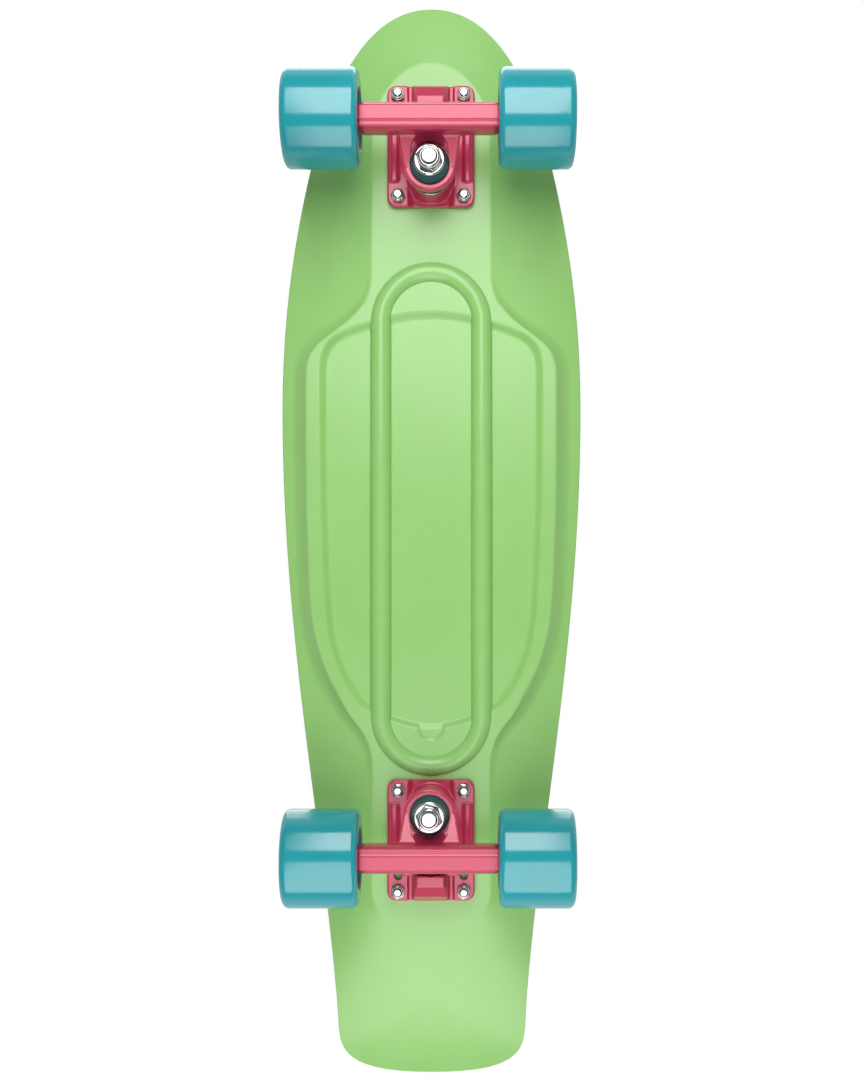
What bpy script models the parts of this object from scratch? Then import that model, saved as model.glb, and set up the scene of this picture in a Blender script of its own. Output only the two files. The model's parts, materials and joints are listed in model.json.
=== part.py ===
"""Moulded plastic cruiser skateboard with two sprung trucks and four wheels.

Metres, +Z up, nose toward -Y. The board stands on its wheels: the origin is
under the middle of the deck, on the ground. Each truck is modelled once, in a
frame whose origin is the middle of its mounting face and whose -Y side faces
the near end of the board, and is placed twice through an empty.
"""

import bmesh
import bpy
import math
from mathutils import Matrix, Vector

GAP = 0.0003                      # clearance between touching pieces
EPS = 0.0010                      # how far a joined or cutting solid runs past a face

# Deck outline, seen from above
DECK_LENGTH = 0.6860
DECK_WIDTH = 0.1905
SHOULDER_HALF_WIDTH = 0.0795
SHOULDER_FROM_NOSE = 0.1130
WIDEST_FROM_NOSE = 0.2570
TAIL_HALF_WIDTH = 0.0605
TAIL_CORNER_FROM_END = 0.0410

# Deck heights
SHELL_THICKNESS = 0.0060
RIM_WIDTH = 0.0090
RIM_HEIGHT = 0.0030
EDGE_ROUND = 0.0030
PLATEAU_DEPTH = 0.0050            # truck seats stand this far below the shell
PANEL_RECESS = 0.0015
BEAD_RADIUS = 0.0060
BEAD_HEIGHT = 0.0042
NOSE_RISE = 0.0010
TAIL_RISE = 0.0190
BEND_CLEAR = 0.0020               # flat deck left past each truck's plate
BEND_STEPS = 6

# Underside relief
SPINE_HALF_WIDTH = 0.0375
SPINE_NOSE_END = 0.0395           # from the nose tip
SPINE_NOSE_DOME = 0.0475
SPINE_TAIL_DOME = 0.0200
SPINE_TAIL_PAST_PLATE = 0.0140
COFFIN_HALF_WIDTH = 0.0812
COFFIN_FRONT = 0.0950             # corner of the wide plateau, behind the front truck
COFFIN_BACK = 0.1450              # its rear corner, ahead of the rear truck
PANEL_INSET = 0.0145
BEAD_HALF_WIDTH = 0.0320          # to the bead's centre line
BEAD_FRONT = 0.0780               # behind the front truck
BEAD_BACK = 0.0460                # ahead of the rear truck

# Truck places
FRONT_TRUCK_FROM_NOSE = 0.0925
REAR_TRUCK_FROM_TAIL = 0.1570

# Wheels and bearings
WHEEL_RADIUS = 0.0295
WHEEL_WIDTH = 0.0455
WHEEL_LIP_ROUND = 0.0040
WHEEL_RECESS_RADIUS = 0.0170
BEARING_RADIUS = 0.0110
BEARING_BORE_RADIUS = 0.0042
BEARING_WIDTH = 0.0070
BEARING_SPACING = 0.0100          # between the two bearings of a wheel
SHOULDER_RADIUS = 0.0090

# Truck, from its mounting face
AXLE_DROP = 0.0472
AXLE_OFFSET = 0.0035              # toward the board's near end
AXLE_RADIUS = BEARING_BORE_RADIUS - GAP
AXLE_NUT_FLATS = 0.0127
AXLE_NUT_HEIGHT = 0.0065
SPEED_WASHER_RADIUS = 0.0065
SPEED_WASHER_THICKNESS = 0.0010
HANGER_WIDTH = 0.1040
BEAM_RADIUS = 0.0085
BEAM_END_RADIUS = 0.0072
BEAM_TAPER = 0.0080
KINGPIN_OFFSET = 0.0205           # toward the middle of the board
KINGPIN_RADIUS = 0.0047
KINGPIN_FLATS = 0.0143
KINGPIN_HEAD = 0.0057
KINGPIN_NUT_HEIGHT = 0.0065
KINGPIN_TIP = 0.0020              # past the nut
RING_RADIUS = 0.0170
RING_THICKNESS = 0.0060
RING_BORE_RADIUS = 0.0072
PIVOT_OFFSET = 0.0240             # toward the board's near end
PIVOT_DROP = 0.0125
PIVOT_BALL_RADIUS = 0.0048
PIVOT_ROOT_RADIUS = 0.0062
STEM_LENGTH = 0.0260              # from the ball's centre into the beam
YOKE_HALF_WIDTHS = (0.0220, 0.0150)    # at the beam, at the ring
WEB_HALF_WIDTHS = (0.0065, 0.0050)     # at the beam, at the stem
CUP_WALL = 0.0020
CUP_MOUTH = 0.0030                # past the ball's centre

# Baseplate
PLATE_WIDTH = 0.0550
PLATE_LENGTH = 0.0760
PLATE_THICKNESS = 0.0055
PLATE_CORNER = 0.0060
BOSS_RADIUS = 0.0140
BOSS_HEIGHT = 0.0084
PIVOT_BLOCK_WIDTH = 0.0210
PIVOT_BLOCK_HEIGHT = 0.0235
PIVOT_BLOCK_SHOULDER = 0.0125     # where its outer face starts to slope
PIVOT_BLOCK_SLOPE = 0.0080
SIDE_RIB_WIDTH = 0.0055
SIDE_RIB_LENGTH = 0.0380
SIDE_RIB_HEIGHT = 0.0022

# Bushings and their washers
BUSHING_RADIUS = 0.0122
BOARD_BUSHING_HEIGHT = 0.0134
ROAD_BUSHING_HEIGHT = 0.0087
ROAD_BUSHING_END_RADIUS = 0.0084
WASHER_THICKNESS = 0.0015
WASHER_LIP = 0.0010
WASHER_LIP_HEIGHT = 0.0018

# Mounting bolts
BOLT_SPACING_X = 0.0413
BOLT_SPACING_Y = 0.0635
SECOND_SPACING_Y = 0.0540         # the other standard pattern, spare holes
BOLT_RADIUS = 0.0025
BOLT_HEAD_RADIUS = 0.0052
BOLT_HOLE_RADIUS = BOLT_RADIUS + GAP
BOLT_BOSS_RADIUS = 0.0065
BOLT_BOSS_HEIGHT = 0.0013
BOLT_TIP = 0.0014
LOCK_NUT_FLATS = 0.0080
LOCK_NUT_HEIGHT = 0.0050

# Heights above the ground and places along the board
AXLE_Z = WHEEL_RADIUS
MOUNT_Z = AXLE_Z + AXLE_DROP
PLATEAU_Z = MOUNT_Z + GAP
SHELL_Z = PLATEAU_Z + PLATEAU_DEPTH
FIELD_Z = SHELL_Z + SHELL_THICKNESS
RIM_Z = FIELD_Z + RIM_HEIGHT
NOSE_Y = -DECK_LENGTH / 2
TAIL_Y = DECK_LENGTH / 2
FRONT_Y = NOSE_Y + FRONT_TRUCK_FROM_NOSE
REAR_Y = TAIL_Y - REAR_TRUCK_FROM_TAIL
NOSE_BEND_LENGTH = FRONT_TRUCK_FROM_NOSE - PLATE_LENGTH / 2 - BEND_CLEAR
TAIL_BEND_LENGTH = REAR_TRUCK_FROM_TAIL - PLATE_LENGTH / 2 - BEND_CLEAR

# Heights along the kingpin, from the mounting face, all downward
WASHER_TOP = -PLATE_THICKNESS - BOSS_HEIGHT - GAP
BOARD_BUSHING_TOP = WASHER_TOP - WASHER_THICKNESS - GAP
RING_TOP = BOARD_BUSHING_TOP - BOARD_BUSHING_HEIGHT - GAP
SEAT_Z = RING_TOP - RING_THICKNESS / 2
ROAD_BUSHING_TOP = RING_TOP - RING_THICKNESS - GAP
ROAD_WASHER_TOP = ROAD_BUSHING_TOP - ROAD_BUSHING_HEIGHT - GAP
KINGPIN_NUT_TOP = ROAD_WASHER_TOP - WASHER_THICKNESS - GAP
KINGPIN_END = KINGPIN_NUT_TOP - KINGPIN_NUT_HEIGHT - KINGPIN_TIP

# Steering axis, in the truck's frame
SEAT = Vector((0, KINGPIN_OFFSET, SEAT_Z))
PIVOT = Vector((0, -PIVOT_OFFSET, -PIVOT_DROP))
STEER = (SEAT - PIVOT).normalized()
STEER_TURN = Vector((0, 0, 1)).rotation_difference(STEER)
AXLE = Vector((0, -AXLE_OFFSET, -AXLE_DROP))

# Places along the axle, from the middle of the truck
BEARING_SPREAD = BEARING_SPACING / 2 + BEARING_WIDTH
WHEEL_X = HANGER_WIDTH / 2 + GAP + BEARING_SPREAD
SPEED_WASHER_X = WHEEL_X + BEARING_SPREAD + GAP
AXLE_NUT_X = SPEED_WASHER_X + SPEED_WASHER_THICKNESS + GAP
AXLE_HALF_LENGTH = AXLE_NUT_X + AXLE_NUT_HEIGHT + GAP * 3

WHEEL_STEPS = 32
ROUND_STEPS = 20
BOLT_STEPS = 12


# ---------------------------------------------------------------- helpers

for old in list(bpy.data.objects):
    bpy.data.objects.remove(old)

PARTS = bpy.data.collections.new("skateboard")
CUTTERS = bpy.data.collections.new("cutters")
bpy.context.scene.collection.children.link(PARTS)
bpy.context.scene.collection.children.link(CUTTERS)


def material(name, colour, roughness, metallic=0.0):
    made = bpy.data.materials.new(name)
    made.use_nodes = True
    shader = made.node_tree.nodes["Principled BSDF"]
    shader.inputs["Base Color"].default_value = (*colour, 1)
    shader.inputs["Roughness"].default_value = roughness
    shader.inputs["Metallic"].default_value = metallic
    return made


GREEN = material("green_deck_plastic", (0.37, 0.71, 0.24), 0.45)
CRIMSON = material("crimson_truck_paint", (0.62, 0.045, 0.10), 0.30, 0.3)
TEAL = material("teal_urethane", (0.012, 0.30, 0.32), 0.22)
DARK_TEAL = material("dark_teal_bushing", (0.006, 0.12, 0.14), 0.40)
CHROME = material("chrome_steel", (0.78, 0.79, 0.80), 0.15, 1.0)
BEARING_STEEL = material("bearing_steel", (0.10, 0.10, 0.11), 0.30, 0.9)
BLUE = material("blue_bolt_paint", (0.14, 0.55, 0.75), 0.35)
BLACK = material("black_pivot_plastic", (0.02, 0.02, 0.02), 0.5)


def mesh_object(name, bm):
    """An object, not yet in any collection, from a bmesh."""
    mesh = bpy.data.meshes.new(name)
    bm.to_mesh(mesh)
    bm.free()
    return bpy.data.objects.new(name, mesh)


def cylinder(name, radius, z_low, z_high, steps, end_radius=None):
    """A cylinder or cone along Z; end_radius is the radius at z_high."""
    bm = bmesh.new()
    top = radius if end_radius is None else end_radius
    bmesh.ops.create_cone(
        bm, cap_ends=True, segments=steps, radius1=radius, radius2=top, depth=z_high - z_low
    )
    bmesh.ops.translate(bm, verts=bm.verts, vec=(0, 0, (z_low + z_high) / 2))
    return mesh_object(name, bm)


def hexagon(name, flats, z_low, z_high):
    return cylinder(name, flats / math.sqrt(3), z_low, z_high, 6)


def box(name, low, high):
    bm = bmesh.new()
    bmesh.ops.create_cube(bm, size=1)
    size = Vector(high) - Vector(low)
    centre = (Vector(high) + Vector(low)) / 2
    bmesh.ops.scale(bm, verts=bm.verts, vec=size)
    bmesh.ops.translate(bm, verts=bm.verts, vec=centre)
    return mesh_object(name, bm)


def hull(name, *boxes):
    """The convex shape around several boxes, each given by two opposite corners."""
    bm = bmesh.new()
    for low, high in boxes:
        for x in (low[0], high[0]):
            for y in (low[1], high[1]):
                bm.verts.new((x, y, low[2]))
                bm.verts.new((x, y, high[2]))
    made = bmesh.ops.convex_hull(bm, input=bm.verts)
    left_over = set(made["geom_interior"] + made["geom_unused"])
    spare = [item for item in left_over if isinstance(item, bmesh.types.BMVert)]
    bmesh.ops.delete(bm, geom=spare, context="VERTS")
    bmesh.ops.recalc_face_normals(bm, faces=bm.faces)
    return mesh_object(name, bm)


def slab(name, outline, z_low, z_high):
    """A flat outline, given as (x, y) points in order, pulled up into a solid."""
    bm = bmesh.new()
    bmesh.ops.create_circle(bm, cap_ends=True, segments=len(outline), radius=1)
    for vert, (x, y) in zip(list(bm.verts), outline):
        vert.co = (x, y, z_low)
    risen = bmesh.ops.extrude_face_region(bm, geom=list(bm.faces))
    verts = [item for item in risen["geom"] if isinstance(item, bmesh.types.BMVert)]
    bmesh.ops.translate(bm, verts=verts, vec=(0, 0, z_high - z_low))
    bmesh.ops.recalc_face_normals(bm, faces=bm.faces)
    return mesh_object(name, bm)


def turned(name, profile, steps, closed):
    """A profile of (radius, z) points turned about Z; a closed one makes a ring."""
    count = len(profile)
    edges = [(i, i + 1) for i in range(count - 1)]
    if closed:
        edges.append((count - 1, 0))
    mesh = bpy.data.meshes.new(name)
    mesh.from_pydata([(r, 0, z) for r, z in profile], edges, [])
    obj = bpy.data.objects.new(name, mesh)
    screw = obj.modifiers.new("turn", "SCREW")
    screw.steps = steps
    screw.render_steps = steps
    screw.use_merge_vertices = True
    screw.merge_threshold = 0.00001
    return obj


def ring(name, outer, inner, z_low, z_high, steps):
    return turned(name, [(outer, z_high), (outer, z_low), (inner, z_low), (inner, z_high)], steps, True)


def boolean(target, other, operation):
    CUTTERS.objects.link(other)
    other.hide_render = True
    other.display_type = "WIRE"
    modifier = target.modifiers.new(operation.lower(), "BOOLEAN")
    modifier.operation = operation
    modifier.solver = "EXACT"
    modifier.object = other


def join(target, *others):
    for other in others:
        boolean(target, other, "UNION")


def cut(target, *others):
    for other in others:
        boolean(target, other, "DIFFERENCE")


def finished_mesh(obj, angle=35):
    """The object's evaluated mesh, shaded smooth but for edges sharper than angle."""
    CUTTERS.objects.link(obj)
    bpy.context.view_layer.update()
    evaluated = obj.evaluated_get(bpy.context.evaluated_depsgraph_get())
    mesh = bpy.data.meshes.new_from_object(evaluated)
    mesh.name = obj.name
    mesh.shade_smooth()
    mesh.set_sharp_from_angle(angle=math.radians(angle))
    used = [obj] + [m.object for m in obj.modifiers if m.type == "BOOLEAN"]
    for spent in used:
        bpy.data.objects.remove(spent)
    return mesh


def place(name, mesh, look, parent=None, location=(0, 0, 0), rotation=None):
    obj = bpy.data.objects.new(name, mesh)
    if not mesh.materials:
        mesh.materials.append(look)
    obj.parent = parent
    obj.location = location
    if rotation is not None:
        obj.rotation_mode = "QUATERNION"
        obj.rotation_quaternion = rotation
    PARTS.objects.link(obj)
    return obj


def empty(name, parent=None, location=(0, 0, 0), turn=0.0):
    obj = bpy.data.objects.new(name, None)
    obj.parent = parent
    obj.location = location
    obj.rotation_euler = (0, 0, turn)
    PARTS.objects.link(obj)
    return obj


def bezier(a, b, c, d, count):
    """Points along a cubic curve, without its last one."""
    points = []
    for i in range(count):
        t = i / count
        s = 1 - t
        weights = (s * s * s, 3 * s * s * t, 3 * s * t * t, t * t * t)
        points.append(tuple(sum(w * p[k] for w, p in zip(weights, (a, b, c, d))) for k in (0, 1)))
    return points


def both_sides(half):
    """A half outline on the +X side, from one end of the board to the other, mirrored."""
    return half + [(-x, y) for x, y in reversed(half) if x > EPS / 10]


def inset(outline, distance):
    """The outline moved inward along its normals."""
    moved = []
    count = len(outline)
    for i, (x, y) in enumerate(outline):
        before = Vector(outline[i - 1])
        after = Vector(outline[(i + 1) % count])
        along = (after - before).normalized()
        moved.append((x - along.y * distance, y + along.x * distance))
    return moved


# ---------------------------------------------------------------- deck

def deck_outline():
    """Pointed round nose, widest ahead of the middle, square tail with round corners."""
    half = DECK_WIDTH / 2
    shoulder = (SHOULDER_HALF_WIDTH, NOSE_Y + SHOULDER_FROM_NOSE)
    widest = (half, NOSE_Y + WIDEST_FROM_NOSE)
    corner = (TAIL_HALF_WIDTH, TAIL_Y - TAIL_CORNER_FROM_END)
    nose_handle = (SHOULDER_HALF_WIDTH * 0.55, NOSE_Y)
    shoulder_in = (SHOULDER_HALF_WIDTH * 0.84, NOSE_Y + SHOULDER_FROM_NOSE * 0.49)
    shoulder_out = (shoulder[0] * 1.10, shoulder[1] + 0.037)
    widest_in = (half, widest[1] - 0.061)
    widest_out = (half, widest[1] + 0.155)
    corner_in = (corner[0] * 1.085, corner[1] - 0.106)
    corner_out = (corner[0] * 0.985, corner[1] + TAIL_CORNER_FROM_END * 0.52)
    tail_handle = (TAIL_HALF_WIDTH * 1.04, TAIL_Y)
    points = bezier((0, NOSE_Y), nose_handle, shoulder_in, shoulder, 9)
    points += bezier(shoulder, shoulder_out, widest_in, widest, 4)
    points += bezier(widest, widest_out, corner_in, corner, 8)
    points += bezier(corner, corner_out, tail_handle, (0, TAIL_Y), 9)
    points.append((0, TAIL_Y))
    return both_sides(points)


def plateau_outline():
    """Narrow under both trucks, with domed ends, and wide between them."""
    narrow = SPINE_HALF_WIDTH
    wide = COFFIN_HALF_WIDTH
    front = FRONT_Y + COFFIN_FRONT
    back = REAR_Y - COFFIN_BACK
    nose_end = NOSE_Y + SPINE_NOSE_END
    tail_end = REAR_Y + PLATE_LENGTH / 2 + SPINE_TAIL_PAST_PLATE
    points = []
    for i in range(6):
        angle = i / 6 * math.pi / 2
        points.append((narrow * math.sin(angle), nose_end + SPINE_NOSE_DOME * (1 - math.cos(angle))))
    points.append((narrow, nose_end + SPINE_NOSE_DOME))
    flare_start = (narrow, front - 0.013)
    flare_end = (wide - 0.010, front + 0.026)
    side_start = (wide, front + 0.050)
    side_end = (wide - 0.003, back - 0.006)
    waist = (narrow + 0.014, back + 0.068)
    spine_start = (narrow, back + 0.104)
    points += bezier(flare_start, (narrow, front + 0.016), (wide - 0.022, front + 0.016), flare_end, 5)
    points += bezier(flare_end, (wide - 0.003, front + 0.032), (wide, front + 0.038), side_start, 3)
    points += bezier(side_end, (wide - 0.005, back + 0.030), (wide - 0.018, back + 0.050), waist, 5)
    points += bezier(waist, (narrow + 0.004, back + 0.079), (narrow, back + 0.088), spine_start, 4)
    for i in range(6):
        angle = i / 5 * math.pi / 2
        points.append((narrow * math.cos(angle), tail_end - SPINE_TAIL_DOME * (1 - math.sin(angle))))
    points[-1] = (0, tail_end)
    return both_sides(points)


def panel_outline():
    """The shallow recess inside the wide part of the plateau."""
    wide = COFFIN_HALF_WIDTH - PANEL_INSET
    front = FRONT_Y + COFFIN_FRONT + 0.014
    back = REAR_Y - COFFIN_BACK
    corner = (wide - 0.012, front + 0.013)
    side_start = (wide, front + 0.036)
    side_end = (wide - 0.003, back - 0.006)
    turn = (wide - 0.026, back + 0.060)
    end = (0, back + 0.074)
    points = bezier((0, front), (0.020, front), (0.040, front + 0.006), corner, 5)
    points += bezier(corner, (wide - 0.003, front + 0.018), (wide, front + 0.024), side_start, 4)
    points += bezier(side_end, (wide - 0.005, back + 0.026), (wide - 0.012, back + 0.044), turn, 5)
    points += bezier(turn, (wide - 0.040, back + 0.070), (0.015, back + 0.074), end, 4)
    points.append(end)
    return both_sides(points)


def bead():
    """A long stadium of half-round bar along the middle of the underside."""
    curve = bpy.data.curves.new("bead", "CURVE")
    curve.dimensions = "3D"
    curve.bevel_depth = BEAD_RADIUS
    curve.bevel_resolution = 2
    front = FRONT_Y + BEAD_FRONT + BEAD_HALF_WIDTH
    back = REAR_Y - BEAD_BACK - BEAD_HALF_WIDTH
    arc_steps = 10
    points = []
    for centre, start in ((back, 0.0), (front, math.pi)):
        for i in range(arc_steps + 1):
            angle = start + math.pi * i / arc_steps
            y = centre + BEAD_HALF_WIDTH * math.sin(angle)
            points.append((BEAD_HALF_WIDTH * math.cos(angle), y))
    spline = curve.splines.new("POLY")
    spline.points.add(len(points) - 1)
    for point, (x, y) in zip(spline.points, points):
        point.co = (x, y, PLATEAU_Z - BEAD_HEIGHT + BEAD_RADIUS, 1)
    spline.use_cyclic_u = True
    source = bpy.data.objects.new("bead", curve)
    mesh = finished_mesh(source)
    return bpy.data.objects.new("bead", mesh)


def bolt_places(centre_y):
    half_x = BOLT_SPACING_X / 2
    half_y = BOLT_SPACING_Y / 2
    return [(sx * half_x, centre_y + sy * half_y) for sx in (-1, 1) for sy in (-1, 1)]


def bend_height(y):
    """How far the deck rises at y: the nose a little, the tail more."""
    nose = max(0.0, (NOSE_Y + NOSE_BEND_LENGTH - y) / NOSE_BEND_LENGTH)
    tail = max(0.0, (y - (TAIL_Y - TAIL_BEND_LENGTH)) / TAIL_BEND_LENGTH)
    return NOSE_RISE * nose ** 2 + TAIL_RISE * tail ** 2


def moved(obj, x, y):
    obj.location = (x, y, 0)
    return obj


def deck():
    outline = deck_outline()
    body = slab("deck", outline, SHELL_Z, RIM_Z)
    bevel = body.modifiers.new("round", "BEVEL")
    bevel.width = EDGE_ROUND
    bevel.segments = 2
    bevel.limit_method = "ANGLE"
    bevel.angle_limit = math.radians(60)
    cut(body, slab("field", inset(outline, RIM_WIDTH), FIELD_Z, RIM_Z + EPS))
    join(body, slab("plateau", plateau_outline(), PLATEAU_Z, SHELL_Z + EPS))
    cut(body, slab("panel", panel_outline(), PLATEAU_Z - EPS, PLATEAU_Z + PANEL_RECESS))
    join(body, bead())
    boss_top = FIELD_Z + BOLT_BOSS_HEIGHT
    head_depth = BOLT_HEAD_RADIUS - BOLT_RADIUS
    cone_run = EPS
    for x, y in bolt_places(FRONT_Y) + bolt_places(REAR_Y):
        boss = cylinder("boss", BOLT_BOSS_RADIUS, FIELD_Z - EPS, boss_top, ROUND_STEPS)
        hole = cylinder("hole", BOLT_HOLE_RADIUS, PLATEAU_Z - EPS, boss_top + EPS, BOLT_STEPS)
        sink = cylinder(
            "sink",
            BOLT_HOLE_RADIUS - EPS / 2,
            boss_top - head_depth - GAP - EPS / 2,
            boss_top + cone_run,
            BOLT_STEPS,
            BOLT_HEAD_RADIUS + GAP + cone_run,
        )
        join(body, moved(boss, x, y))
        cut(body, moved(hole, x, y), moved(sink, x, y))
    mesh = finished_mesh(body)
    bm = bmesh.new()
    bm.from_mesh(mesh)
    for i in range(BEND_STEPS):
        share = i / BEND_STEPS
        for y in (NOSE_Y + NOSE_BEND_LENGTH * (1 - share), TAIL_Y - TAIL_BEND_LENGTH * (1 - share)):
            geometry = list(bm.verts) + list(bm.edges) + list(bm.faces)
            middle = (0, y, 0)
            bmesh.ops.bisect_plane(bm, geom=geometry, dist=0.00002, plane_co=middle, plane_no=(0, 1, 0))
    for vert in bm.verts:
        vert.co.z += bend_height(vert.co.y)
    bm.to_mesh(mesh)
    bm.free()
    place("deck", mesh, GREEN)


# ---------------------------------------------------------------- truck pieces

def baseplate_mesh():
    half_x = PLATE_WIDTH / 2
    half_y = PLATE_LENGTH / 2
    outline = []
    for cx, cy, start in ((1, 1, 0), (-1, 1, 90), (-1, -1, 180), (1, -1, 270)):
        for i in range(5):
            angle = math.radians(start + 22.5 * i)
            x = cx * (half_x - PLATE_CORNER) + PLATE_CORNER * math.cos(angle)
            y = cy * (half_y - PLATE_CORNER) + PLATE_CORNER * math.sin(angle)
            outline.append((x, y))
    plate = slab("baseplate", outline, -PLATE_THICKNESS, 0)

    # Block that holds the pivot cup, its outer face sloped, square to the cup at its mouth
    side = PIVOT_BLOCK_WIDTH / 2
    end_y = -half_y + GAP
    low = -PIVOT_BLOCK_HEIGHT
    block = hull(
        "pivot_block",
        ((-side, end_y, -PIVOT_BLOCK_SHOULDER), (side, 0, -EPS)),
        ((-side, end_y + PIVOT_BLOCK_SLOPE, low), (side, 0, low + EPS)),
    )
    reach = PLATE_LENGTH
    mouth = box("mouth", (-reach, -reach, CUP_MOUTH + GAP), (reach, reach, reach))
    mouth.location = PIVOT
    mouth.rotation_mode = "QUATERNION"
    mouth.rotation_quaternion = STEER_TURN
    cut(block, mouth)
    block = bpy.data.objects.new("pivot_block", finished_mesh(block))
    join(plate, block)

    boss = cylinder("boss", BOSS_RADIUS, -PLATE_THICKNESS - BOSS_HEIGHT, -EPS, ROUND_STEPS)
    join(plate, moved(boss, 0, KINGPIN_OFFSET))
    rib_x = half_x - GAP * 4
    for side in (-1, 1):
        low_x = min(side * rib_x, side * (rib_x - SIDE_RIB_WIDTH))
        rib_y = (BOLT_SPACING_Y - SECOND_SPACING_Y) / 2
        rib = box(
            "rib",
            (low_x, rib_y - SIDE_RIB_LENGTH / 2, -PLATE_THICKNESS - SIDE_RIB_HEIGHT),
            (low_x + SIDE_RIB_WIDTH, rib_y + SIDE_RIB_LENGTH / 2, -EPS),
        )
        join(plate, rib)

    pocket_radius = PIVOT_BALL_RADIUS + GAP + CUP_WALL + GAP
    pocket_end = -PIVOT_BALL_RADIUS - GAP - CUP_WALL - GAP
    pocket = cylinder("pocket", pocket_radius, pocket_end, reach / 3, ROUND_STEPS)
    pocket.location = PIVOT
    pocket.rotation_mode = "QUATERNION"
    pocket.rotation_quaternion = STEER_TURN
    cut(plate, pocket)

    boss_end = -PLATE_THICKNESS - BOSS_HEIGHT
    shank = cylinder("shank_hole", KINGPIN_RADIUS + GAP, boss_end - EPS, EPS, ROUND_STEPS)
    head_radius = KINGPIN_FLATS / math.sqrt(3) + 2 * GAP
    head = cylinder("head_pocket", head_radius, -KINGPIN_HEAD - 2 * GAP, EPS, ROUND_STEPS)
    cut(plate, moved(shank, 0, KINGPIN_OFFSET), moved(head, 0, KINGPIN_OFFSET))
    spare_y = BOLT_SPACING_Y / 2 - SECOND_SPACING_Y
    spare = [(side * BOLT_SPACING_X / 2, spare_y) for side in (-1, 1)]
    for x, y in bolt_places(0) + spare:
        hole = cylinder("hole", BOLT_HOLE_RADIUS, -PLATE_THICKNESS - EPS, EPS, BOLT_STEPS)
        cut(plate, moved(hole, x, y))
    return finished_mesh(plate)


def hanger_mesh():
    """Beam round the axle, yoke out to the bushing ring, stem up to the pivot ball."""
    half = HANGER_WIDTH / 2
    profile = [
        (0, half),
        (BEAM_END_RADIUS, half),
        (BEAM_RADIUS, half - BEAM_TAPER),
        (BEAM_RADIUS, -half + BEAM_TAPER),
        (BEAM_END_RADIUS, -half),
        (0, -half),
    ]
    beam = turned("hanger", profile, ROUND_STEPS, False)
    beam.matrix_world = Matrix.Translation(AXLE) @ Matrix.Rotation(math.pi / 2, 4, "Y")

    body = cylinder("ring", RING_RADIUS, RING_TOP - RING_THICKNESS, RING_TOP, 28)
    body.data.transform(Matrix.Translation((0, KINGPIN_OFFSET, 0)))
    join(body, beam)
    yoke_end = KINGPIN_OFFSET - BUSHING_RADIUS - 6 * GAP
    wide, narrow = YOKE_HALF_WIDTHS
    ring_end = RING_TOP - RING_THICKNESS
    yoke = hull(
        "yoke",
        ((-wide, AXLE.y - 0.0065, AXLE.z - 0.004), (wide, AXLE.y + 0.0065, AXLE.z + 0.0075)),
        ((-narrow, yoke_end - 0.004, ring_end), (narrow, yoke_end, RING_TOP)),
    )
    join(body, yoke)
    wide, narrow = WEB_HALF_WIDTHS
    root = PIVOT + STEER * (STEM_LENGTH - EPS)
    web = hull(
        "web",
        ((-wide, AXLE.y - 0.0070, AXLE.z), (wide, AXLE.y + 0.0060, AXLE.z + 0.006)),
        ((-narrow, root.y - 0.011, root.z - 0.001), (narrow, root.y - 0.002, root.z + 0.004)),
    )
    join(body, web)
    profile = [
        (0, STEM_LENGTH),
        (PIVOT_ROOT_RADIUS, STEM_LENGTH),
        (PIVOT_BALL_RADIUS * 0.96, PIVOT_BALL_RADIUS),
    ]
    for i in range(5):
        angle = math.radians(15 - 21 * i)
        profile.append((PIVOT_BALL_RADIUS * math.cos(angle), PIVOT_BALL_RADIUS * math.sin(angle)))
    profile.append((0, -PIVOT_BALL_RADIUS))
    stem = turned("stem", profile, ROUND_STEPS, False)
    stem.matrix_world = Matrix.Translation(PIVOT) @ STEER_TURN.to_matrix().to_4x4()
    join(body, stem)

    bore = cylinder("bore", RING_BORE_RADIUS, ring_end - EPS, RING_TOP + EPS, ROUND_STEPS)
    axle_hole = cylinder("axle_hole", AXLE_RADIUS + GAP, -half - EPS, half + EPS, ROUND_STEPS)
    axle_hole.matrix_world = Matrix.Translation(AXLE) @ Matrix.Rotation(math.pi / 2, 4, "Y")
    cut(body, moved(bore, 0, KINGPIN_OFFSET), axle_hole)
    mesh = finished_mesh(body)
    mesh.transform(Matrix.Translation(-SEAT))
    return mesh


def nut_mesh(name, flats, height, bore):
    """A hexagon nut hanging down from z = 0, with a plain hole."""
    nut = hexagon(name, flats, -height, 0)
    cut(nut, cylinder("thread", bore, -height - EPS, EPS, BOLT_STEPS))
    return finished_mesh(nut)


def bolt_mesh():
    """Countersunk bolt, its head's flat top at z = 0."""
    head_depth = BOLT_HEAD_RADIUS - BOLT_RADIUS
    tip_z = MOUNT_Z - PLATE_THICKNESS - GAP - LOCK_NUT_HEIGHT - BOLT_TIP
    length = FIELD_Z + BOLT_BOSS_HEIGHT - tip_z
    profile = [
        (0, 0),
        (BOLT_HEAD_RADIUS, 0),
        (BOLT_RADIUS, -head_depth),
        (BOLT_RADIUS, -length),
        (0, -length),
    ]
    return finished_mesh(turned("deck_bolt", profile, BOLT_STEPS, False))


def kingpin_mesh():
    pin = hexagon("kingpin", KINGPIN_FLATS, -GAP - KINGPIN_HEAD, -GAP)
    join(pin, cylinder("shank", KINGPIN_RADIUS, KINGPIN_END, -GAP - KINGPIN_HEAD + EPS, ROUND_STEPS))
    return finished_mesh(pin)


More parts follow.
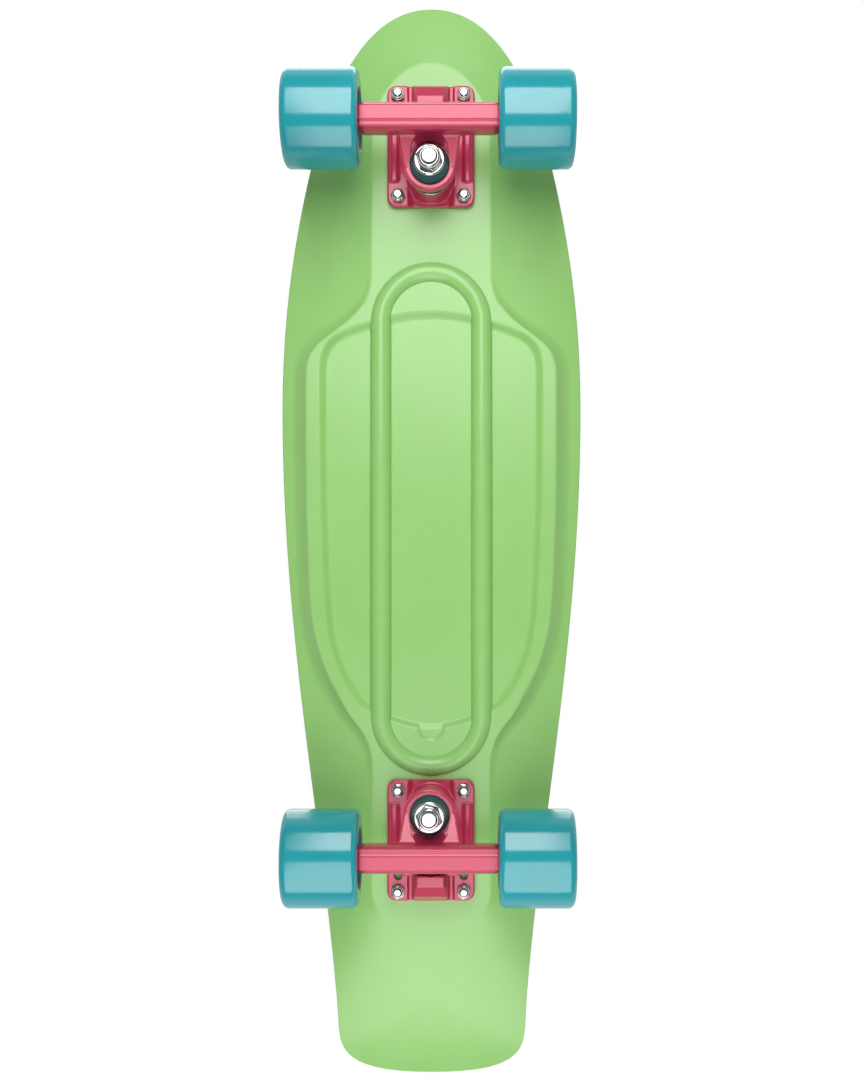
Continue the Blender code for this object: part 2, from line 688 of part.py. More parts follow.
def cup_washer_mesh(name, bushing_radius):
    """A disc with a lip hanging down round the bushing's end; its top is at z = 0."""
    lip_inner = bushing_radius + GAP
    outer = lip_inner + WASHER_LIP
    bore = KINGPIN_RADIUS + GAP
    profile = [
        (outer, 0),
        (outer, -WASHER_THICKNESS - WASHER_LIP_HEIGHT),
        (lip_inner, -WASHER_THICKNESS - WASHER_LIP_HEIGHT),
        (lip_inner, -WASHER_THICKNESS),
        (bore, -WASHER_THICKNESS),
        (bore, 0),
    ]
    return finished_mesh(turned(name, profile, ROUND_STEPS, True))


def bushing_mesh(name, top_radius, bottom_radius, height):
    """A barrel with a straight land at each end, where a washer's lip stands round it."""
    bore = KINGPIN_RADIUS + GAP
    land = WASHER_LIP_HEIGHT + GAP
    swell = (top_radius + bottom_radius) / 2 + 0.0004
    outside = [(top_radius, 0), (top_radius, -land), (swell, -height / 2)]
    outside += [(bottom_radius, land - height), (bottom_radius, -height)]
    return finished_mesh(turned(name, outside + [(bore, -height), (bore, 0)], ROUND_STEPS, True))


def pivot_cup_mesh():
    """A cup round the pivot ball, its mouth toward +Z and the ball's centre at the origin."""
    inner = PIVOT_BALL_RADIUS + GAP
    outer = inner + CUP_WALL
    profile = [
        (outer, CUP_MOUTH),
        (outer, -outer),
        (0, -outer),
        (0, -inner),
        (inner, -inner),
        (inner, CUP_MOUTH),
    ]
    return finished_mesh(turned("pivot_cup", profile, ROUND_STEPS, True))


def wheel_mesh():
    """Turned about Z, with round lips, a dished face each side and two bearing seats."""
    half = WHEEL_WIDTH / 2
    lip = WHEEL_LIP_ROUND
    seat = BEARING_RADIUS + GAP
    shoulder = BEARING_SPACING / 2 - GAP
    mouth = BEARING_SPREAD + GAP
    turn = lip * (1 - math.sin(math.pi / 4))
    side = [(WHEEL_RADIUS - lip, half), (WHEEL_RADIUS - turn, half - turn), (WHEEL_RADIUS, half - lip)]
    face = [(SHOULDER_RADIUS, shoulder), (seat, shoulder), (seat, mouth), (WHEEL_RECESS_RADIUS, half)]
    upper = face + side
    profile = upper + [(r, -z) for r, z in reversed(upper)]
    return finished_mesh(turned("wheel", profile, WHEEL_STEPS, True), 50)


def truck_meshes():
    """Each kind of truck piece: its mesh and its material."""
    axle = cylinder("axle", AXLE_RADIUS, -AXLE_HALF_LENGTH, AXLE_HALF_LENGTH, ROUND_STEPS)
    low, high = -BEARING_WIDTH / 2, BEARING_WIDTH / 2
    bearing = ring("bearing", BEARING_RADIUS, BEARING_BORE_RADIUS, low, high, ROUND_STEPS)
    thick = SPEED_WASHER_THICKNESS
    washer = ring("washer", SPEED_WASHER_RADIUS, BEARING_BORE_RADIUS, 0, thick, ROUND_STEPS)
    kingpin_nut = nut_mesh("kingpin_nut", KINGPIN_FLATS, KINGPIN_NUT_HEIGHT, KINGPIN_RADIUS + GAP)
    road_end = ROAD_BUSHING_END_RADIUS
    board_bushing = bushing_mesh("board_bushing", BUSHING_RADIUS, BUSHING_RADIUS, BOARD_BUSHING_HEIGHT)
    road_bushing = bushing_mesh("road_bushing", BUSHING_RADIUS, road_end, ROAD_BUSHING_HEIGHT)
    return {
        "baseplate": (baseplate_mesh(), CRIMSON),
        "hanger": (hanger_mesh(), CRIMSON),
        "axle": (finished_mesh(axle), CHROME),
        "kingpin": (kingpin_mesh(), CHROME),
        "kingpin_nut": (kingpin_nut, CHROME),
        "board_washer": (cup_washer_mesh("board_washer", BUSHING_RADIUS), CHROME),
        "road_washer": (cup_washer_mesh("road_washer", ROAD_BUSHING_END_RADIUS), CHROME),
        "board_bushing": (board_bushing, DARK_TEAL),
        "road_bushing": (road_bushing, DARK_TEAL),
        "pivot_cup": (pivot_cup_mesh(), BLACK),
        "deck_bolt": (bolt_mesh(), BLUE),
        "deck_nut": (nut_mesh("deck_nut", LOCK_NUT_FLATS, LOCK_NUT_HEIGHT, BOLT_RADIUS + GAP), CHROME),
        "wheel": (wheel_mesh(), TEAL),
        "bearing": (finished_mesh(bearing), BEARING_STEEL),
        "speed_washer": (finished_mesh(washer), CHROME),
        "axle_nut": (nut_mesh("axle_nut", AXLE_NUT_FLATS, AXLE_NUT_HEIGHT, AXLE_RADIUS + GAP), CHROME),
    }


def truck(end, y, turn, made):
    """One truck with its wheels; end is "front" or "rear"."""
    frame = empty(end + "_truck_frame", None, (0, y, MOUNT_Z), turn)

    def put(piece, name=None, parent=frame, location=(0, 0, 0), rotation=None):
        mesh, look = made[piece]
        return place(end + "_" + (name or piece), mesh, look, parent, location, rotation)

    put("baseplate")
    put("kingpin", location=(0, KINGPIN_OFFSET, 0))
    put("kingpin_nut", location=(0, KINGPIN_OFFSET, KINGPIN_NUT_TOP))
    put("board_washer", location=(0, KINGPIN_OFFSET, WASHER_TOP))
    put("board_bushing", location=(0, KINGPIN_OFFSET, BOARD_BUSHING_TOP))
    put("road_bushing", location=(0, KINGPIN_OFFSET, ROAD_BUSHING_TOP))
    upside_down = Matrix.Rotation(math.pi, 3, "X").to_quaternion()
    washer_end = ROAD_WASHER_TOP - WASHER_THICKNESS
    put("road_washer", location=(0, KINGPIN_OFFSET, washer_end), rotation=upside_down)
    put("pivot_cup", location=PIVOT, rotation=STEER_TURN)
    bolt_top = FIELD_Z + BOLT_BOSS_HEIGHT - MOUNT_Z
    for number, (x, bolt_y) in enumerate(bolt_places(0), 1):
        put("deck_bolt", f"deck_bolt_{number}", location=(x, bolt_y, bolt_top))
        put("deck_nut", f"deck_nut_{number}", location=(x, bolt_y, -PLATE_THICKNESS - GAP))

    hanger = put("hanger", location=SEAT)
    along_x = {1: Matrix.Rotation(math.pi / 2, 3, "Y").to_quaternion()}
    along_x[-1] = Matrix.Rotation(-math.pi / 2, 3, "Y").to_quaternion()
    axle = put("axle", parent=hanger, location=AXLE - SEAT, rotation=along_x[1])
    axle_frame = empty(end + "_axle_frame", hanger, AXLE - SEAT)
    for local_side in (-1, 1):
        world_side = local_side if abs(turn) < 1 else -local_side
        hand = "right" if world_side > 0 else "left"
        out = along_x[local_side]
        spin = empty(f"{end}_{hand}_spin", axle_frame, (local_side * WHEEL_X, 0, 0))
        put("wheel", hand + "_wheel", spin, rotation=out)
        offset = (BEARING_SPACING + BEARING_WIDTH) / 2
        put("bearing", hand + "_outer_bearing", spin, (local_side * offset, 0, 0), out)
        put("bearing", hand + "_inner_bearing", spin, (-local_side * offset, 0, 0), out)
        put("speed_washer", hand + "_speed_washer", axle_frame, (local_side * SPEED_WASHER_X, 0, 0), out)
        nut_x = local_side * (AXLE_NUT_X + AXLE_NUT_HEIGHT)
        put("axle_nut", hand + "_axle_nut", axle_frame, (nut_x, 0, 0), out)


deck()
pieces = truck_meshes()
truck("front", FRONT_Y, 0.0, pieces)
truck("rear", REAR_Y, math.pi, pieces)
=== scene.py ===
import json
import math

import bmesh
import bpy
import numpy as np
from mathutils import Matrix, Vector
from mathutils.geometry import interpolate_bezier


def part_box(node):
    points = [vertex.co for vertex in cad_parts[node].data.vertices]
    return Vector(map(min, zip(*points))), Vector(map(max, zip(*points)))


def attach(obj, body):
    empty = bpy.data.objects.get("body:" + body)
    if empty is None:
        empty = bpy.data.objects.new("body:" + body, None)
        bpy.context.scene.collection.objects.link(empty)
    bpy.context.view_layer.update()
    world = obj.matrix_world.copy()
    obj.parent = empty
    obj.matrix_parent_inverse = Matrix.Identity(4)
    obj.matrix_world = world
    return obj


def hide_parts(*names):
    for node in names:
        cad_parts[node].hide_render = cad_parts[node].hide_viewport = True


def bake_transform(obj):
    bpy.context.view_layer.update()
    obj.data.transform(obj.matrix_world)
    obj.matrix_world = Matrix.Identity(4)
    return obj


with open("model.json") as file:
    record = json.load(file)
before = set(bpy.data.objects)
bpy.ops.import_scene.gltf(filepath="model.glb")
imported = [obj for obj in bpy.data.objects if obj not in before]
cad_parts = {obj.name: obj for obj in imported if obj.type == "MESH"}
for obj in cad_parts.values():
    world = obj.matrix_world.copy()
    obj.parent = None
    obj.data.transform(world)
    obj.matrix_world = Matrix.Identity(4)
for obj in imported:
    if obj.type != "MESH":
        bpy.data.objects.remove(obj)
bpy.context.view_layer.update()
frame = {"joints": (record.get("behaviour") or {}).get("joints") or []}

# ---------------------------------------------------------------- camera
# The camera lies under the board and looks straight up at its underside, nose
# at the top of the frame. It stands a little to the board's right and nearer
# its tail, so the small shift keeps the board in the middle of the frame.

camera_data = bpy.data.cameras.new("camera")
camera_data.lens = 48.5
camera_data.shift_x = -0.0333
camera_data.shift_y = 0.0469
camera = bpy.data.objects.new("camera", camera_data)
camera.location = (0.0233, 0.0290, -0.843)
camera.rotation_euler = (math.pi, 0, 0)
bpy.context.scene.collection.objects.link(camera)
bpy.context.scene.camera = camera
bpy.context.scene.view_settings.view_transform = "Standard"

# ---------------------------------------------------------------- studio
# Two softboxes under the board, one past each end of it, and one large one
# above. The white surround fills the shadows.


def softbox(name, near, far, width, brightness):
    """A rectangular area light across X, from its near edge to its far edge in (y, z)."""
    near = Vector((0, *near))
    far = Vector((0, *far))
    lamp = bpy.data.lights.new(name, "AREA")
    lamp.shape = "RECTANGLE"
    lamp.size = width
    lamp.size_y = (far - near).length
    lamp.energy = brightness * math.pi * lamp.size * lamp.size_y
    obj = bpy.data.objects.new(name, lamp)
    across = Vector((1, 0, 0))
    along = (far - near).normalized()
    facing = across.cross(along)
    middle = (near + far) / 2
    if facing.dot(middle) < 0:
        along = -along
        facing = -facing
    obj.matrix_world = Matrix.Translation(middle) @ Matrix((across, along, facing)).transposed().to_4x4()
    obj.visible_camera = False
    bpy.context.scene.collection.objects.link(obj)
    return obj


softbox("nose_softbox", (-0.177, -0.660), (-0.668, -0.283), 0.36, 4.6)
softbox("tail_softbox", (0.164, -0.590), (0.593, -0.105), 0.38, 2.5)
softbox("top_softbox", (-0.6, 3.0), (-3.2, 1.6), 2.6, 1.6)

# The surround is white above the board's level and dim below it, and plain
# white wherever the camera sees it.
world = bpy.data.worlds.new("surround")
world.use_nodes = True
bpy.context.scene.world = world
surround = world.node_tree
ray = surround.nodes.new("ShaderNodeLightPath")
direction = surround.nodes.new("ShaderNodeTexCoord")
split = surround.nodes.new("ShaderNodeSeparateXYZ")
surround.links.new(direction.outputs["Generated"], split.inputs[0])
level = surround.nodes.new("ShaderNodeMapRange")
level.inputs["From Min"].default_value = -0.10
level.inputs["From Max"].default_value = 0.25
level.inputs["To Min"].default_value = 0.22
level.inputs["To Max"].default_value = 0.80
surround.links.new(split.outputs["Z"], level.inputs["Value"])
strength = surround.nodes.new("ShaderNodeMath")
strength.operation = "MAXIMUM"
surround.links.new(level.outputs["Result"], strength.inputs[0])
surround.links.new(ray.outputs["Is Camera Ray"], strength.inputs[1])
sky = surround.nodes["Background"]
sky.inputs["Color"].default_value = (1, 1, 1, 1)
surround.links.new(strength.outputs[0], sky.inputs["Strength"])

# ---------------------------------------------------------------- materials' maths
# Sockets add, multiply and so on as numbers do. A finish holds one material and
# adds its nodes.


class Link:
    """One output socket in a material, used in sums."""

    def __init__(self, tree, socket):
        self.tree = tree
        self.socket = socket

    def maths(self, operation, first, second):
        node = self.tree.nodes.new("ShaderNodeMath")
        node.operation = operation
        for slot, value in enumerate((first, second)):
            if isinstance(value, Link):
                self.tree.links.new(value.socket, node.inputs[slot])
            else:
                node.inputs[slot].default_value = value
        return Link(self.tree, node.outputs[0])

    def __add__(self, other):
        return self.maths("ADD", self, other)

    __radd__ = __add__

    def __sub__(self, other):
        return self.maths("SUBTRACT", self, other)

    def __rsub__(self, other):
        return self.maths("SUBTRACT", other, self)

    def __mul__(self, other):
        return self.maths("MULTIPLY", self, other)

    __rmul__ = __mul__


class Finish:
    """A material built from nodes."""

    def __init__(self, name):
        self.material = bpy.data.materials.new(name)
        self.material.use_nodes = True
        self.tree = self.material.node_tree
        self.shader = self.tree.nodes["Principled BSDF"]
        self.place = self.add("ShaderNodeTexCoord", output="Object")

    def add(self, kind, settings=None, sockets=None, output=0):
        node = self.tree.nodes.new(kind)
        for key, value in (settings or {}).items():
            if key == "stops":
                ramp = node.color_ramp.elements
                for element, (position, grey) in zip(ramp, value):
                    element.position = position
                    element.color = (grey, grey, grey, 1)
            else:
                setattr(node, key, value)
        for key, value in (sockets or {}).items():
            if isinstance(value, Link):
                self.tree.links.new(value.socket, node.inputs[key])
            else:
                node.inputs[key].default_value = value
        return Link(self.tree, node.outputs[output])

    def noise(self, scale, detail=3.0, roughness=0.5, where=None):
        sockets = {"Vector": where or self.place, "Scale": scale, "Detail": detail, "Roughness": roughness}
        return self.add("ShaderNodeTexNoise", sockets=sockets)

    def ramp(self, value, low, high):
        """0 below low, 1 above high."""
        return self.add("ShaderNodeValToRGB", {"stops": ((low, 0), (high, 1))}, {"Fac": value})

    def mix(self, share, first, second):
        sockets = {0: share, 6: first, 7: second}
        return self.add("ShaderNodeMix", {"data_type": "RGBA"}, sockets, output=2)

    def bump(self, height, distance, strength=1.0, under=None):
        sockets = {"Height": height, "Distance": distance, "Strength": strength}
        if under is not None:
            sockets["Normal"] = under
        return self.add("ShaderNodeBump", sockets=sockets)

    def along(self, axis):
        return self.add("ShaderNodeSeparateXYZ", sockets={"Vector": self.place}, output=axis)

    def set(self, **sockets):
        """Principled sockets by name, with _ for a space."""
        for key, value in sockets.items():
            name = key.replace("_", " ")
            if isinstance(value, Link):
                self.tree.links.new(value.socket, self.shader.inputs[name])
            else:
                self.shader.inputs[name].default_value = value
        return self.material


def rgb(red, green, blue):
    return (red, green, blue, 1.0)


# ---------------------------------------------------------------- floor
# A pale sheet that the wheels stand on. It is there from above only, so that
# the underside can be looked at.

floor_finish = Finish("pale_floor")
floor_shade = floor_finish.mix(floor_finish.noise(3.0), rgb(0.30, 0.30, 0.30), rgb(0.32, 0.32, 0.32))
floor_paint = floor_finish.set(
    Base_Color=floor_shade,
    Roughness=0.8,
    Emission_Color=floor_finish.mix(floor_finish.noise(2.0), rgb(0.97, 0.97, 0.97), rgb(1, 1, 1)),
    Emission_Strength=0.61,
)
clear = floor_finish.add("ShaderNodeBsdfTransparent")
side = floor_finish.add("ShaderNodeNewGeometry", output="Backfacing")
one_sided = floor_finish.add(
    "ShaderNodeMixShader",
    sockets={0: side, 1: Link(floor_finish.tree, floor_finish.shader.outputs[0]), 2: clear},
)
output = floor_finish.tree.nodes["Material Output"]
floor_finish.tree.links.new(one_sided.socket, output.inputs["Surface"])

bpy.ops.object.select_all(action="DESELECT")
bpy.ops.mesh.primitive_plane_add(size=60)
floor = bpy.context.object
floor.name = "floor"
floor.data.materials.append(floor_paint)
floor.visible_shadow = False
floor.visible_diffuse = False
floor.visible_glossy = False

# ---------------------------------------------------------------- deck
# One injection moulding in green polypropylene. Its outline is four curves a
# side; the top has a raised smooth rim round a flat field, the underside a
# raised plateau that carries the trucks, a shallow panel and a long bead.

deck_low, deck_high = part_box("deck")
nose_y = deck_low.y
tail_y = deck_high.y
half_width = deck_high.x
front_low, front_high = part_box("front_baseplate")
rear_low, rear_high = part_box("rear_baseplate")
front_y = (front_low.y + front_high.y) / 2
rear_y = (rear_low.y + rear_high.y) / 2
mount_z = front_high.z

plateau_z = mount_z + 0.0003
shell_z = plateau_z + 0.0050
field_z = shell_z + 0.0060
rim_z = field_z + 0.0030
edge_z = rim_z - 0.0036
rim_width = 0.0090
nose_bend = front_low.y - 0.002 - nose_y
tail_bend = tail_y - rear_high.y - 0.002
nose_rise = 0.0010
tail_rise = 0.0190


def flat_curve(start, stretches, steps):
    """Points along joined cubic curves from start; each stretch is handle, handle, knot."""
    points = []
    for stretch in stretches:
        corners = [Vector((x, y, 0)) for x, y in (start, *stretch)]
        points += interpolate_bezier(*corners, steps)[:-1]
        start = stretch[-1]
    points.append(corners[-1])
    return np.array([(p.x, p.y) for p in points])


shoulder = (0.0795, nose_y + 0.113)
widest = (half_width, nose_y + 0.257)
corner = (0.0605, tail_y - 0.041)
half_outline = flat_curve(
    (0, nose_y),
    (
        ((0.0437, nose_y), (0.0668, nose_y + 0.0554), shoulder),
        ((0.0875, nose_y + 0.150), (half_width, nose_y + 0.196), widest),
        ((half_width, widest[1] + 0.155), (0.0656, corner[1] - 0.106), corner),
        ((0.0596, tail_y - 0.0197), (0.0630, tail_y), (0, tail_y)),
    ),
    120,
)


def closed_outline(half):
    """A half outline on the +X side and its mirror image, as one ring of points."""
    mirrored = half[::-1] * (-1, 1)
    inner = mirrored[(mirrored[:, 0] < -1e-7)]
    return np.vstack([half, inner])


def edge_distance(x, y, ring):
    """How far each point lies inside a ring of points; negative outside it."""
    best = np.full(x.shape, 1e9)
    inside = np.zeros(x.shape, bool)
    following = np.roll(ring, -1, axis=0)
    for (ax, ay), (bx, by) in zip(ring, following):
        dx, dy = bx - ax, by - ay
        share = np.clip(((x - ax) * dx + (y - ay) * dy) / max(dx * dx + dy * dy, 1e-14), 0, 1)
        gap = (x - ax - share * dx) ** 2 + (y - ay - share * dy) ** 2
        best = np.minimum(best, gap)
        if abs(dy) > 1e-12:
            crosses = (ay > y) != (by > y)
            inside ^= crosses & (x < ax + (y - ay) * dx / dy)
    best = np.sqrt(best)
    return np.where(inside, best, -best)


def ease(value, low, high):
    share = np.clip((value - low) / (high - low), 0, 1)
    return share * share * (3 - 2 * share)


def bend(y):
    """How far nose and tail rise."""
    nose = np.clip((nose_y + nose_bend - y) / nose_bend, 0, 1)
    tail = np.clip((y - tail_y + tail_bend) / tail_bend, 0, 1)
    return nose_rise * nose ** 2 + tail_rise * tail ** 2


deck_ring = closed_outline(half_outline[::6])

# Plateau: a spine under each truck that widens between them
spine = 0.0375
wide = 0.0802
front = front_y + 0.095
back = rear_y - 0.145
spine_end = rear_high.y + 0.014
dome = nose_y + 0.0395
plateau_step = 0.0066
plateau_ring = closed_outline(
    flat_curve(
        (0, dome),
        (
            ((0.0200, dome), (spine, dome + 0.021), (spine, dome + 0.0475)),
            ((spine, front - 0.050), (spine, front - 0.040), (spine, front - 0.020)),
            ((spine, front + 0.006), (wide - 0.025, front + 0.014), (wide - 0.010, front + 0.026)),
            ((wide - 0.003, front + 0.032), (wide, front + 0.038), (wide, front + 0.050)),
            ((wide, front + 0.100), (wide, back - 0.060), (wide - 0.003, back - 0.006)),
            ((wide - 0.005, back + 0.030), (wide - 0.018, back + 0.050), (0.0515, back + 0.068)),
            ((0.0415, back + 0.079), (spine, back + 0.088), (spine, back + 0.104)),
            ((spine, spine_end - 0.040), (spine, spine_end - 0.030), (spine, spine_end - 0.018)),
            ((spine, spine_end - 0.006), (0.022, spine_end), (0, spine_end)),
        ),
        14,
    )
)

# Panel: sunk into the plateau, with a small round tab at its tail end
panel_x = wide - 0.0116
panel_y = front + 0.0098
panel_end = back + 0.074
panel_corner = (panel_x - 0.026, back + 0.060)
panel_depth = 0.0034
panel_slope = 0.0038
panel_ring = closed_outline(
    flat_curve(
        (0, panel_y),
        (
            ((0.020, panel_y), (0.040, panel_y + 0.006), (panel_x - 0.012, panel_y + 0.013)),
            ((panel_x - 0.003, panel_y + 0.018), (panel_x, panel_y + 0.024), (panel_x, panel_y + 0.036)),
            ((panel_x, panel_y + 0.090), (panel_x, back - 0.060), (panel_x - 0.003, back - 0.006)),
            ((panel_x - 0.005, back + 0.026), (panel_x - 0.012, back + 0.044), panel_corner),
            ((0.0300, back + 0.0680), (0.015, panel_end), (0, panel_end)),
        ),
        14,
    )
)
tab_y = panel_end
tab_radius = 0.0082
tab_depth = 0.0010


def underside(x, y, edge):
    """Height of the underside: plateau, flanks that slope up to the edge, panel and its tab."""
    inward = edge_distance(x, y, plateau_ring)
    outward = np.maximum(-inward, 0)
    share = outward / (outward + edge + 1e-6)
    # 1 where the plateau stands clear of the flanks, 0 at the trucks
    middle = ease(y, front - 0.020, front + 0.045) * (1 - ease(y, back + 0.040, back + 0.125))
    top = plateau_z + plateau_step * middle
    flank = top + (edge_z - top) * share
    wall = 0.0024 + 0.0066 * middle
    raised = (1 - np.clip(outward / wall, 0, 1)) ** 2.2 * (1 - 0.25 * (1 - ease(inward, -0.0006, 0.0006)))
    z = flank + (plateau_z - flank) * raised
    tab_gap = np.hypot(x, np.maximum(y - tab_y, 0))
    panel = edge_distance(x, y, panel_ring)
    straight = np.clip(panel / panel_slope + 0.5, 0, 1)
    sunk = 0.85 * straight + 0.15 * ease(panel, -0.0024, 0.0024)
    tab = ease(tab_radius - tab_gap, -0.0006, 0.0006) * (y > tab_y - 0.004)
    return z + panel_depth * sunk + tab_depth * tab * (1 - sunk)


def topside(x, y, edge):
    """Height of the top: rounded edge, smooth rim, flat field."""
    roll = np.clip(edge / 0.0030, 0, 1)
    z = edge_z + (rim_z - edge_z) * np.sqrt(1 - (1 - roll) ** 2)
    return z - (rim_z - field_z) * ease(edge, rim_width - 0.0012, rim_width + 0.0010)


def laid_sheet(name, columns, rows, middle, height):
    """A grid laid across the deck: rows join matching points of its two sides.

    middle is the share of the columns, and of the width, that the even middle takes.
    """
    bpy.ops.object.select_all(action="DESELECT")
    bpy.ops.mesh.primitive_grid_add(x_subdivisions=columns, y_subdivisions=rows, size=2)
    sheet = bpy.context.object
    sheet.name = name
    count = len(sheet.data.vertices)
    flat = np.empty(count * 3)
    sheet.data.vertices.foreach_get("co", flat)
    flat = flat.reshape(count, 3)
    lengths = np.concatenate([[0], np.cumsum(np.hypot(*np.diff(half_outline, axis=0).T))])
    stops = [lengths[0], *np.interp(fine_bands, half_outline[:, 1], lengths), lengths[-1]]
    station = np.interp((flat[:, 1] + 1) / 2, (0, 0.21, 0.36, 0.60, 0.72, 1), stops)
    side_x = np.interp(station, lengths, half_outline[:, 0])
    y = np.interp(station, lengths, half_outline[:, 1])
    share = np.abs(flat[:, 0])
    spread = np.interp(share, (0, middle[0], 1), (0, middle[1], 1))
    x = np.sign(flat[:, 0]) * spread * side_x
    edge = np.maximum(edge_distance(x, y, deck_ring), 0)
    edge[share > 0.99999] = 0
    z = height(x, y, edge) + bend(y)
    sheet.data.vertices.foreach_set("co", np.column_stack([x, y, z]).ravel())
    sheet.data.update()
    return sheet


rows = 400
# Rows lie closest together where the panel's two ends cross the deck
fine_bands = (front + 0.004, front + 0.046, back + 0.058, back + 0.090)
lower = laid_sheet("deck_lower", 198, rows, (0.86, 0.91), underside)
upper = laid_sheet("deck_moulding", 26, rows, (0.30, 0.85), topside)
bpy.ops.object.select_all(action="DESELECT")
lower.select_set(True)
upper.select_set(True)
bpy.context.view_layer.objects.active = upper
bpy.ops.object.join()
deck = upper
bpy.ops.object.mode_set(mode="EDIT")
bpy.ops.mesh.select_all(action="SELECT")
bpy.ops.mesh.remove_doubles(threshold=0.000002)
bpy.ops.mesh.normals_make_consistent(inside=False)
bpy.ops.object.mode_set(mode="OBJECT")
bpy.ops.object.shade_smooth()

deck_finish = Finish("green_polypropylene")
cloud = deck_finish.noise(14.0, 2.0)
swirl = deck_finish.noise(55.0, 4.0, 0.6)
grain = deck_finish.noise(1800.0, 2.0, 0.6)
deck_colour = deck_finish.mix(cloud, rgb(0.282, 0.605, 0.152), rgb(0.320, 0.650, 0.186))
deck_plastic = deck_finish.set(
    Base_Color=deck_finish.mix(0.25 * swirl, deck_colour, rgb(0.42, 0.74, 0.28)),
    Roughness=0.23 + 0.10 * swirl + 0.05 * grain,
    IOR=1.60,
    Normal=deck_finish.bump(grain + 2.0 * swirl, 0.00002, 0.6),
)
deck.data.materials.append(deck_plastic)
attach(deck, "board")
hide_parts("deck")

# ---------------------------------------------------------------- bead
# A long stadium of half-round bar stands on the underside of the deck. A
# torus is stretched into it.

bead_half = 0.0320
bead_front = front_y + 0.078 + bead_half
bead_back = rear_y - 0.046 - bead_half
bead_radius = 0.0066
bead_height = 0.0042


def pick(obj, kind, rule):
    """Selects the vertices, edges or faces that a rule is true of, in edit mode."""
    bpy.ops.mesh.select_mode(type=kind)
    bpy.ops.mesh.select_all(action="DESELECT")
    work = bmesh.from_edit_mesh(obj.data)
    for item in {"VERT": work.verts, "EDGE": work.edges, "FACE": work.faces}[kind]:
        item.select_set(rule(item))
    bmesh.update_edit_mesh(obj.data)


def upright(bar):
    """True of an edge that stands along Z."""
    low, high = (vert.co for vert in bar.verts)
    return math.hypot(low.x - high.x, low.y - high.y) < 0.00001


bpy.ops.object.select_all(action="DESELECT")
bpy.ops.mesh.primitive_torus_add(
    major_radius=bead_half, minor_radius=bead_radius, major_segments=96, minor_segments=40
)
bead = bpy.context.object
bead.name = "deck_bead"
bpy.ops.object.mode_set(mode="EDIT")
bpy.ops.mesh.select_all(action="SELECT")
bpy.ops.transform.translate(value=(0, bead_back, plateau_z - bead_height + bead_radius))
pick(bead, "VERT", lambda vert: vert.co.y < bead_back - 0.0001)
bpy.ops.transform.translate(value=(0, bead_front - bead_back, 0))
bpy.ops.object.mode_set(mode="OBJECT")
bpy.ops.object.shade_smooth()
bead.data.materials.append(deck_plastic)
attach(bead, "board")

# ---------------------------------------------------------------- tread
# The grip on the field: a net of low ridges with diamond hollows between
# them, moulded with the deck. It runs in under the rim on all sides.

ridge_across = 0.0184
ridge_along = 0.0107
ridge_height = 0.0012
ridge_top = 0.0011
ridge_slope = 0.0006
cells = 76

bpy.ops.object.select_all(action="DESELECT")
bpy.ops.mesh.primitive_grid_add(x_subdivisions=cells, y_subdivisions=cells, size=cells)
tread = bpy.context.object
tread.name = "deck_tread"
bpy.ops.object.mode_set(mode="EDIT")
bpy.ops.mesh.select_all(action="SELECT")
bpy.ops.transform.rotate(value=math.radians(45), orient_axis="Z", center_override=(0, 0, 0))
diagonal = math.sqrt(2)
bpy.ops.transform.resize(
    value=(ridge_across / diagonal, ridge_along / diagonal, 1), center_override=(0, 0, 0)
)
bpy.ops.mesh.select_all(action="DESELECT")
net = bmesh.from_edit_mesh(tread.data)
corners = np.array([[(v.co.x, v.co.y) for v in face.verts] for face in net.faces])
depth = edge_distance(corners[:, :, 0], corners[:, :, 1], deck_ring).min(axis=1)
for face, inside in zip(net.faces, depth > 0.0035):
    face.select_set(not inside)
bmesh.update_edit_mesh(tread.data)
bpy.ops.mesh.delete(type="FACE")
bpy.ops.mesh.select_all(action="SELECT")
bpy.ops.mesh.inset(thickness=ridge_top / 2, depth=0, use_individual=True)
bpy.ops.mesh.inset(thickness=ridge_slope, depth=-ridge_height, use_individual=True)
bpy.ops.object.mode_set(mode="OBJECT")
for vert in tread.data.vertices:
    vert.co.z += field_z + ridge_height + 0.0001 + float(bend(vert.co.y))
bpy.ops.object.shade_smooth_by_angle(angle=math.radians(60))
tread.data.materials.append(deck_plastic)
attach(tread, "board")

# ---------------------------------------------------------------- badge panel
# A plain smooth panel stands level with the ridges in the middle of the
# field, with a fine line inside its edge. It carries no mark.

panel_size = (0.066, 0.150)
badge_y = -0.036
badge_z = field_z + ridge_height + 0.0004

bpy.ops.object.select_all(action="DESELECT")
bpy.ops.mesh.primitive_cube_add(size=1, location=(0, badge_y, badge_z - 0.001))
badge = bpy.context.object
badge.name = "deck_badge_panel"
badge.scale = (panel_size[0], panel_size[1], 0.002)
bpy.ops.object.transform_apply(location=True, rotation=False, scale=True)
bpy.ops.object.mode_set(mode="EDIT")
pick(badge, "EDGE", upright)
bpy.ops.mesh.bevel(offset=0.014, segments=12, affect="EDGES")
pick(badge, "FACE", lambda face: face.normal.z > 0.9)
# A soft edge, a flat border, then a groove with sloped sides
groove = ((0.0004, 0.0003), (0.0035, 0), (0.0004, -0.0004), (0.0010, 0), (0.0004, 0.0004))
for thickness, depth in groove:
    bpy.ops.mesh.inset(thickness=thickness, depth=depth)
bpy.ops.mesh.select_mode(type="VERT")
bpy.ops.object.mode_set(mode="OBJECT")
bpy.ops.object.shade_smooth_by_angle(angle=math.radians(30))
badge.data.materials.append(deck_plastic)
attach(badge, "board")

# ---------------------------------------------------------------- bolt bosses
# A smooth round boss is moulded round each of the eight bolt heads.


